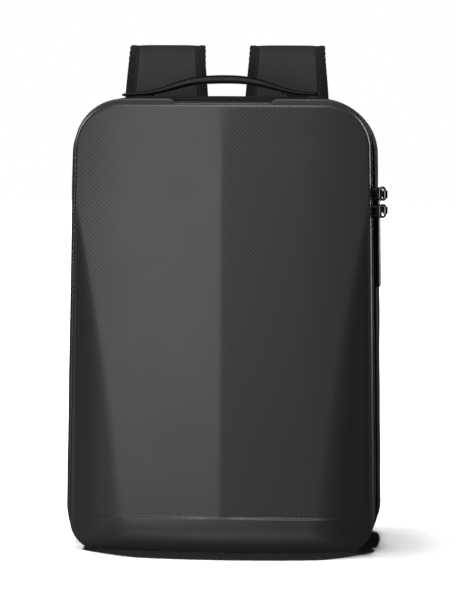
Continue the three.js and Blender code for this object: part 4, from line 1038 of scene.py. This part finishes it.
def shoulder_strap(place, side):
    """Padded strap: a section carried over the fold, with a plain face, a stitched band either side of it
    and a bound edge, which ripples a little at the fold."""
    rows = spline(STRAP_COURSE, 190)
    points = strap_place(side, rows)
    run = lengths_along(points)
    turned = np.gradient(points, axis=0)
    outward = np.stack([0 * turned[:, 0], -turned[:, 2], turned[:, 1]], -1)
    along, across, out = guides(points, outward)
    half = rows[:, 3] * STRAP_WIDTH / 2 + BINDING_OUT
    wide = across * half[:, None]
    fold = np.exp(-(((run - run[np.argmax(points[:, 2])]) / FOLD_LENGTH) ** 2))[:, None]

    def carried(share, lift, material):
        section = np.stack([share, lift], -1)
        cloth = np.stack(np.broadcast_arrays(share * STRAP_WIDTH / 2, run[:, None]), -1)
        return patch(sweep(points, wide, out, section), cloth, material)

    parts = []
    face = np.sin(np.linspace(-np.pi / 2, np.pi / 2, 33)) * BAND_SHARE
    for sense in (1, -1):
        parts.append(carried(face, strap_lift(face, sense), 0))
        for edge in (-1, 1):
            band = edge * np.linspace(BAND_SHARE, BINDING_SHARE + 0.02, 4)
            parts.append(carried(band, strap_lift(band, sense) - 0.001 * sense, 1))
            line = points + wide * edge * STITCH_SHARE
            line = line + out * (strap_lift(STITCH_SHARE, sense) + 0.1 * sense)
            parts.append(stitches(line, along, across, out, 3))
    top, under = float(strap_lift(1.0, 1)), float(strap_lift(1.0, -1))
    turn = np.radians(np.linspace(0, 180, 13))
    for edge in (-1, 1):
        hem = edge * np.array([BINDING_SHARE, BINDING_SHARE + 0.01])
        share = np.concatenate([hem, edge * (0.955 + 0.045 * np.sin(turn)), hem[::-1]])
        lift = (top + under) / 2 + ((top - under) / 2 + BINDING_THICKNESS) * np.cos(turn)
        lift = np.concatenate([[top - 0.2, top + 0.4], lift, [under - 0.4, under + 0.2]])
        section = np.stack([share, lift], -1)
        bound = sweep(points, wide, out, section)
        gather = 0.3 * fold * np.sin(run / 0.9)[:, None] * np.sin(np.linspace(0, np.pi, len(section)))
        bound += gather[..., None] * (out[:, None] + across[:, None] * edge)
        cloth = np.stack(np.broadcast_arrays(np.linspace(0, 16, len(section)), run[:, None]), -1)
        parts.append(patch(bound, cloth, 2))
    for end in (0, -1):
        share = np.concatenate([face, [BINDING_SHARE], [BINDING_SHARE], face[::-1], [-BINDING_SHARE] * 2])
        lift = strap_lift(share, np.repeat([1, -1, 1], [len(face) + 1, len(face) + 2, 1]))
        ring = sweep(points[[end]], wide[[end]], out[[end]], np.stack([share, lift], -1))[0]
        core = np.broadcast_to(points[end], ring.shape)
        lid = np.stack([np.append(ring, ring[:1], 0), np.append(core, core[:1], 0)])
        parts.append(patch(lid, None, 1))
    finishes = [STRAP_FINISH, BAND_FINISH, BINDING_FINISH, THREAD_FINISH]
    name = f"shoulder_strap_{place}"
    strap = make(f"padded_strap_{place}", parts, finishes, [name], sharp=50)


def corner_place(side, clear, angle, z):
    """Points over the body's back corner, clear of it by a distance, at angles from the side to the back."""
    radius = BODY_BACK_RADIUS + clear
    x = body_half_width(z) - BODY_BACK_RADIUS + radius * np.cos(angle)
    y = BACK_FACE_Y - BODY_BACK_RADIUS + radius * np.sin(angle)
    return np.stack(np.broadcast_arrays(side * x, y, z), -1)


def ribbon(points, outward, width, thickness):
    """Flat webbing: a nearly rectangular section carried along a line, as wide as a number or as one for
    each point."""
    _, across, out = guides(points, outward)
    wide = across * (np.broadcast_to(width, len(points)) / 2)[:, None]
    section = wheel(1, thickness / 2, 12, 40)
    grid = closed_ends(sweep(points, wide, out, section))
    run = lengths_along(grid.mean(1))
    mean_width = float(np.mean(width))
    cloth = np.stack(np.broadcast_arrays(section[:, 0] * mean_width / 2, run[:, None]), -1)
    return patch(grid, cloth)


def strap_webbing(place, side):
    """Webbing of a strap: a loop from the strap's end over the buckle's upper bar, and a length from its
    lower slot down to the corner of the body, both along smooth curves."""
    last, end = strap_place(side, STRAP_COURSE[-2:])
    heading = unit((end - last) * (1, 0, 1))
    behind = np.array([0.0, 1.0, 0.0])
    over = BUCKLE_THICKNESS / 2 + WEBBING_THICKNESS / 2 + 0.1

    def stop(along, back):
        return end + heading * along + behind * back

    # Stops along the buckle: millimetres from the strap's end, and how far behind it the webbing lies
    loop = spline([stop(-9, 1.2), stop(-1, 2.4), stop(3, over), stop(7, over * 0.8), stop(9, 0)], 24)
    middle = TAB_FOOT_HEIGHT + TAB_HEIGHT / 2
    clear = TAB_THICKNESS + WEBBING_THICKNESS / 2 + 2 * FIT_GAP
    turns = np.radians([90, 72, WEBBING_END_ANGLE])
    arc = corner_place(side, clear, turns, middle)
    foot = stop(BUCKLE_LENGTH + 2 * FIT_GAP + WEBBING_WIDTH / 4, 0)
    slope = foot + (arc[0] - foot) * (0, 0.72, 0.92)
    slope[0] = arc[0][0] - side * WEBBING_WIDTH * 0.3
    line = [stop(21, 0), stop(23.4, over * 0.85), stop(27, over), stop(BUCKLE_LENGTH + 1, 1.6)]
    line += [foot, slope, *arc]
    outward = [behind] * 5 + [(side * 0.1, 1, 0)]
    outward += [(side * math.cos(a), math.sin(a), 0) for a in turns]
    both = spline(np.concatenate([line, outward], axis=1), 90)
    parts = [
        ribbon(loop, np.broadcast_to(behind, loop.shape), WEBBING_WIDTH, WEBBING_THICKNESS),
        ribbon(both[:, :3], both[:, 3:], WEBBING_WIDTH, WEBBING_THICKNESS),
    ]
    make(f"ribbed_webbing_{place}", parts, [WEBBING_FINISH], [f"strap_webbing_{place}"])


def corner_tab(place, side):
    """Sewn tab that wraps the body's back corner along an arc and narrows evenly, with stitches along
    its seam and across its middle."""
    share = np.linspace(0, 1, 28)
    angle = np.radians(TAB_SEAM_ANGLE + (90 - TAB_SEAM_ANGLE) * share)
    middle = TAB_FOOT_HEIGHT + TAB_HEIGHT / 2
    points = corner_place(side, FIT_GAP + TAB_THICKNESS / 2, angle, middle)
    outward = np.stack([side * np.cos(angle), np.sin(angle), 0 * angle], -1)
    width = TAB_HEIGHT + (WEBBING_WIDTH - TAB_HEIGHT) * share
    parts = [ribbon(points, outward, width, TAB_THICKNESS)]
    for at in (1, 5):
        z = middle + np.linspace(-0.5, 0.5, 24) * (width[at] - 3)
        line = corner_place(side, FIT_GAP + TAB_THICKNESS + 0.1, angle[at], z)
        parts.append(stitches(line, *guides(line, np.broadcast_to(outward[at], line.shape)), 1))
    finishes = [WEBBING_FINISH, THREAD_FINISH]
    make(f"sewn_tab_{place}", parts, finishes, [f"anchor_tab_{place}"])


# Handle
def carry_handle():
    """Moulded handle: nearly elliptical sections carried along its course, drawn in round its tips."""
    reach, rise, thick = spline(HANDLE_COURSE, 150).T
    points = np.stack([reach * HANDLE_REACH, 0 * reach + HANDLE_Y, CASE_HEIGHT + rise * HANDLE_RISE], -1)
    run = lengths_along(points)
    from_tip = np.minimum(run, run[-1] - run)
    tip = np.sqrt(1 - (1 - np.clip(from_tip / HANDLE_TIP, 0.02, 1)) ** 2)
    _, across, out = guides(points, np.broadcast_to([0.0, 0.0, 1.0], points.shape))
    wide = across * (HANDLE_WIDTH / 2 * (0.35 + 0.65 * tip))[:, None]
    high = out * (HANDLE_THICKNESS / 2 * thick * (0.3 + 0.7 * tip))[:, None]
    grid = sweep(points, wide, high, wheel(1, 1, 2.7, 40))
    make("moulded_handle", [patch(closed_ends(grid))], [HANDLE_FINISH], ["carry_handle"])

    at = np.interp(RIVET_X, points[:, 0], points[:, 2]) - HANDLE_THICKNESS / 2 * 0.6
    radius = np.array([0.7, 1, 1, 0.85, 0.45]) * RIVET_RADIUS
    height = at + np.array([0.6, 0, -1.0, -1.7, -2.0])
    circle = wheel(1, 1, 2, 20)
    x = RIVET_X + radius[:, None] * circle[:, 0]
    y = HANDLE_Y - HANDLE_WIDTH * 0.3 + radius[:, None] * circle[:, 1]
    rivet = np.stack([x, y, np.broadcast_to(height[:, None], x.shape)], -1)
    make("handle_rivet", [patch(closed_ends(rivet))], [TRIM_FINISH])


def finished_node(name, material, edge):
    """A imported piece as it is, with its edges rounded by a bevel and a real finish."""
    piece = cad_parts[name]
    piece.data.materials.clear()
    piece.data.materials.append(material)
    weld = piece.modifiers.new("joined", "WELD")
    weld.merge_threshold = 0.01 * MM
    bevel = piece.modifiers.new("rounded", "BEVEL")
    bevel.width = edge * MM
    bevel.segments = 3
    bevel.limit_method = "ANGLE"
    bevel.angle_limit = math.radians(35)
    bevel.harden_normals = True


# Camera, light and floor
def lit_by(lamp, receivers):
    """Lets a lamp light only the given pieces. Everything still casts its shadow in it."""
    lamp.light_linking.receiver_collection = receivers


def aimed(name, data, azimuth, elevation, distance, target):
    """A lamp at an angle and a distance from a point, turned towards it."""
    a, e = math.radians(azimuth), math.radians(elevation)
    back = Vector((math.sin(a) * math.cos(e), -math.cos(a) * math.cos(e), math.sin(e)))
    lamp = bpy.data.objects.new(name, data)
    lamp.location = (Vector(target) + back * distance) * MM
    lamp.rotation_euler = back.to_track_quat("Z", "Y").to_euler()
    bpy.context.scene.collection.objects.link(lamp)
    return lamp


def light_from(lamps, receivers):
    """Rectangular lamps that light only the given pieces, from rows of name, azimuth, elevation, distance,
    height of the point they face, size and power."""
    for name, azimuth, elevation, distance, height, size, watts in lamps:
        lamp = bpy.data.lights.new(name, "AREA")
        lamp.shape = "RECTANGLE"
        lamp.size, lamp.size_y = size[0] * MM, size[1] * MM
        lamp.energy = watts
        lit_by(aimed(name, lamp, azimuth, elevation, distance, (0, 0, height)), receivers)


def stand():
    """A pale floor under the base, and a camera and lamps as the photograph has them."""
    reach = 6.0
    floor = bpy.data.meshes.new("floor")
    corners = [(-reach, -reach, 0), (reach, -reach, 0), (reach, reach, 0), (-reach, reach, 0)]
    floor.from_pydata(corners, [], [(0, 1, 2, 3)])
    floor.materials.append(painted_floor())
    ground = bpy.data.objects.new("floor", floor)
    bpy.context.scene.collection.objects.link(ground)
    ground.visible_glossy = False
    ground.visible_diffuse = False
    ground.visible_shadow = False

    azimuth, pitch = math.radians(CAMERA_AZIMUTH), math.radians(CAMERA_PITCH)
    camera = bpy.data.objects.new("camera", bpy.data.cameras.new("camera"))
    bpy.context.scene.collection.objects.link(camera)
    camera.data.lens = FOCAL_LENGTH
    camera.data.sensor_width = SENSOR
    camera.location = (
        (CAMERA_ASIDE + CAMERA_DISTANCE * math.sin(azimuth)) * MM,
        -CAMERA_DISTANCE * math.cos(azimuth) * MM,
        CASE_HEIGHT * MM,
    )
    turned = Matrix.Rotation(azimuth, 3, "Z") @ Matrix.Rotation(math.pi / 2 - pitch, 3, "X")
    turned @= Matrix.Rotation(math.radians(CAMERA_ROLL), 3, "Z")
    camera.rotation_euler = turned.to_euler()
    bpy.context.scene.camera = camera

    world = bpy.data.worlds.new("studio")
    bpy.context.scene.world = world
    world.use_nodes = True
    tree = world.node_tree
    seen = node(tree, "ShaderNodeLightPath").outputs["Is Camera Ray"]
    strength = span(tree, seen, 0, 1, FILL_STRENGTH, 1.0)
    tree.links.new(strength, tree.nodes["Background"].inputs["Strength"])
    tree.nodes["Background"].inputs["Color"].default_value = colour("ffffff")

    # The lamps light the bag alone, and the suns light the floor alone
    on_floor = bpy.data.collections.new("on_floor")
    on_floor.objects.link(ground)
    on_bag = bpy.data.collections.new("on_bag")
    on_bag.objects.link(ground)
    on_bag.collection_objects[0].light_linking.link_state = "EXCLUDE"
    for name, azimuth, elevation, softness, strength in (
        ("floor_sun", -90, 89.5, 4, 2.3),
        ("floor_side", -90, 80, 14, 2.0),
        ("floor_left", -90, 60, 8, 3.0),
    ):
        sun = bpy.data.lights.new(name, "SUN")
        sun.angle = math.radians(softness)
        sun.energy = strength
        lit_by(aimed(name, sun, azimuth, elevation, 1500, (0, 0, 0)), on_floor)
    lamps = [
        ("key", -15, 0, 1900, 350, (300, 1300), 12.2),
        ("key_side", -22, 0, 1900, 350, (200, 1300), 2.4),
        ("high_front", -10, 40, 1700, 350, (600, 400), 8),
        ("overhead", 0, 76, 1500, 300, (1000, 160), 2),
        ("low_front", -3, -45, 1300, 20, (900, 300), 2.8),
        ("low_left", -62, -8, 650, 20, (160, 160), 0.14),
        ("back", 180, 5, 1700, 250, (700, 900), 9),
        ("back_left", -148, 8, 1700, 250, (500, 900), 5),
        ("back_right", 148, 8, 1700, 250, (500, 900), 5),
    ]
    light_from(lamps, on_bag)


bpy.context.scene.view_settings.view_transform = "Standard"
stand()
on_shell = bpy.data.collections.new("on_shell")
on_shell.objects.link(front_shell())
edge_lamps = [
    ("top_edge", -4, 84, 900, 440, (300, 50), 6),
    ("right_edge", 115, 0, 900, 60, (60, 300), 0.7),
]
light_from(edge_lamps, on_shell)
rear_body()
zip_band()
zip_teeth()
for place, sense in (("upper", 1), ("lower", -1)):
    zip_slider(place, sense)
    finished_node(f"pull_{place}", ZINC_FINISH, 0.3)
finished_node("lock_plate", TRIM_FINISH, 0.4)
back_panel()
for place, side in (("left", -1), ("right", 1)):
    shoulder_strap(place, side)
    strap_webbing(place, side)
    corner_tab(place, side)
    finished_node(f"strap_buckle_{place}", TRIM_FINISH, 0.3)
    finished_node(f"handle_foot_{place}", FOOT_SHADE_FINISH, 0.5)
carry_handle()
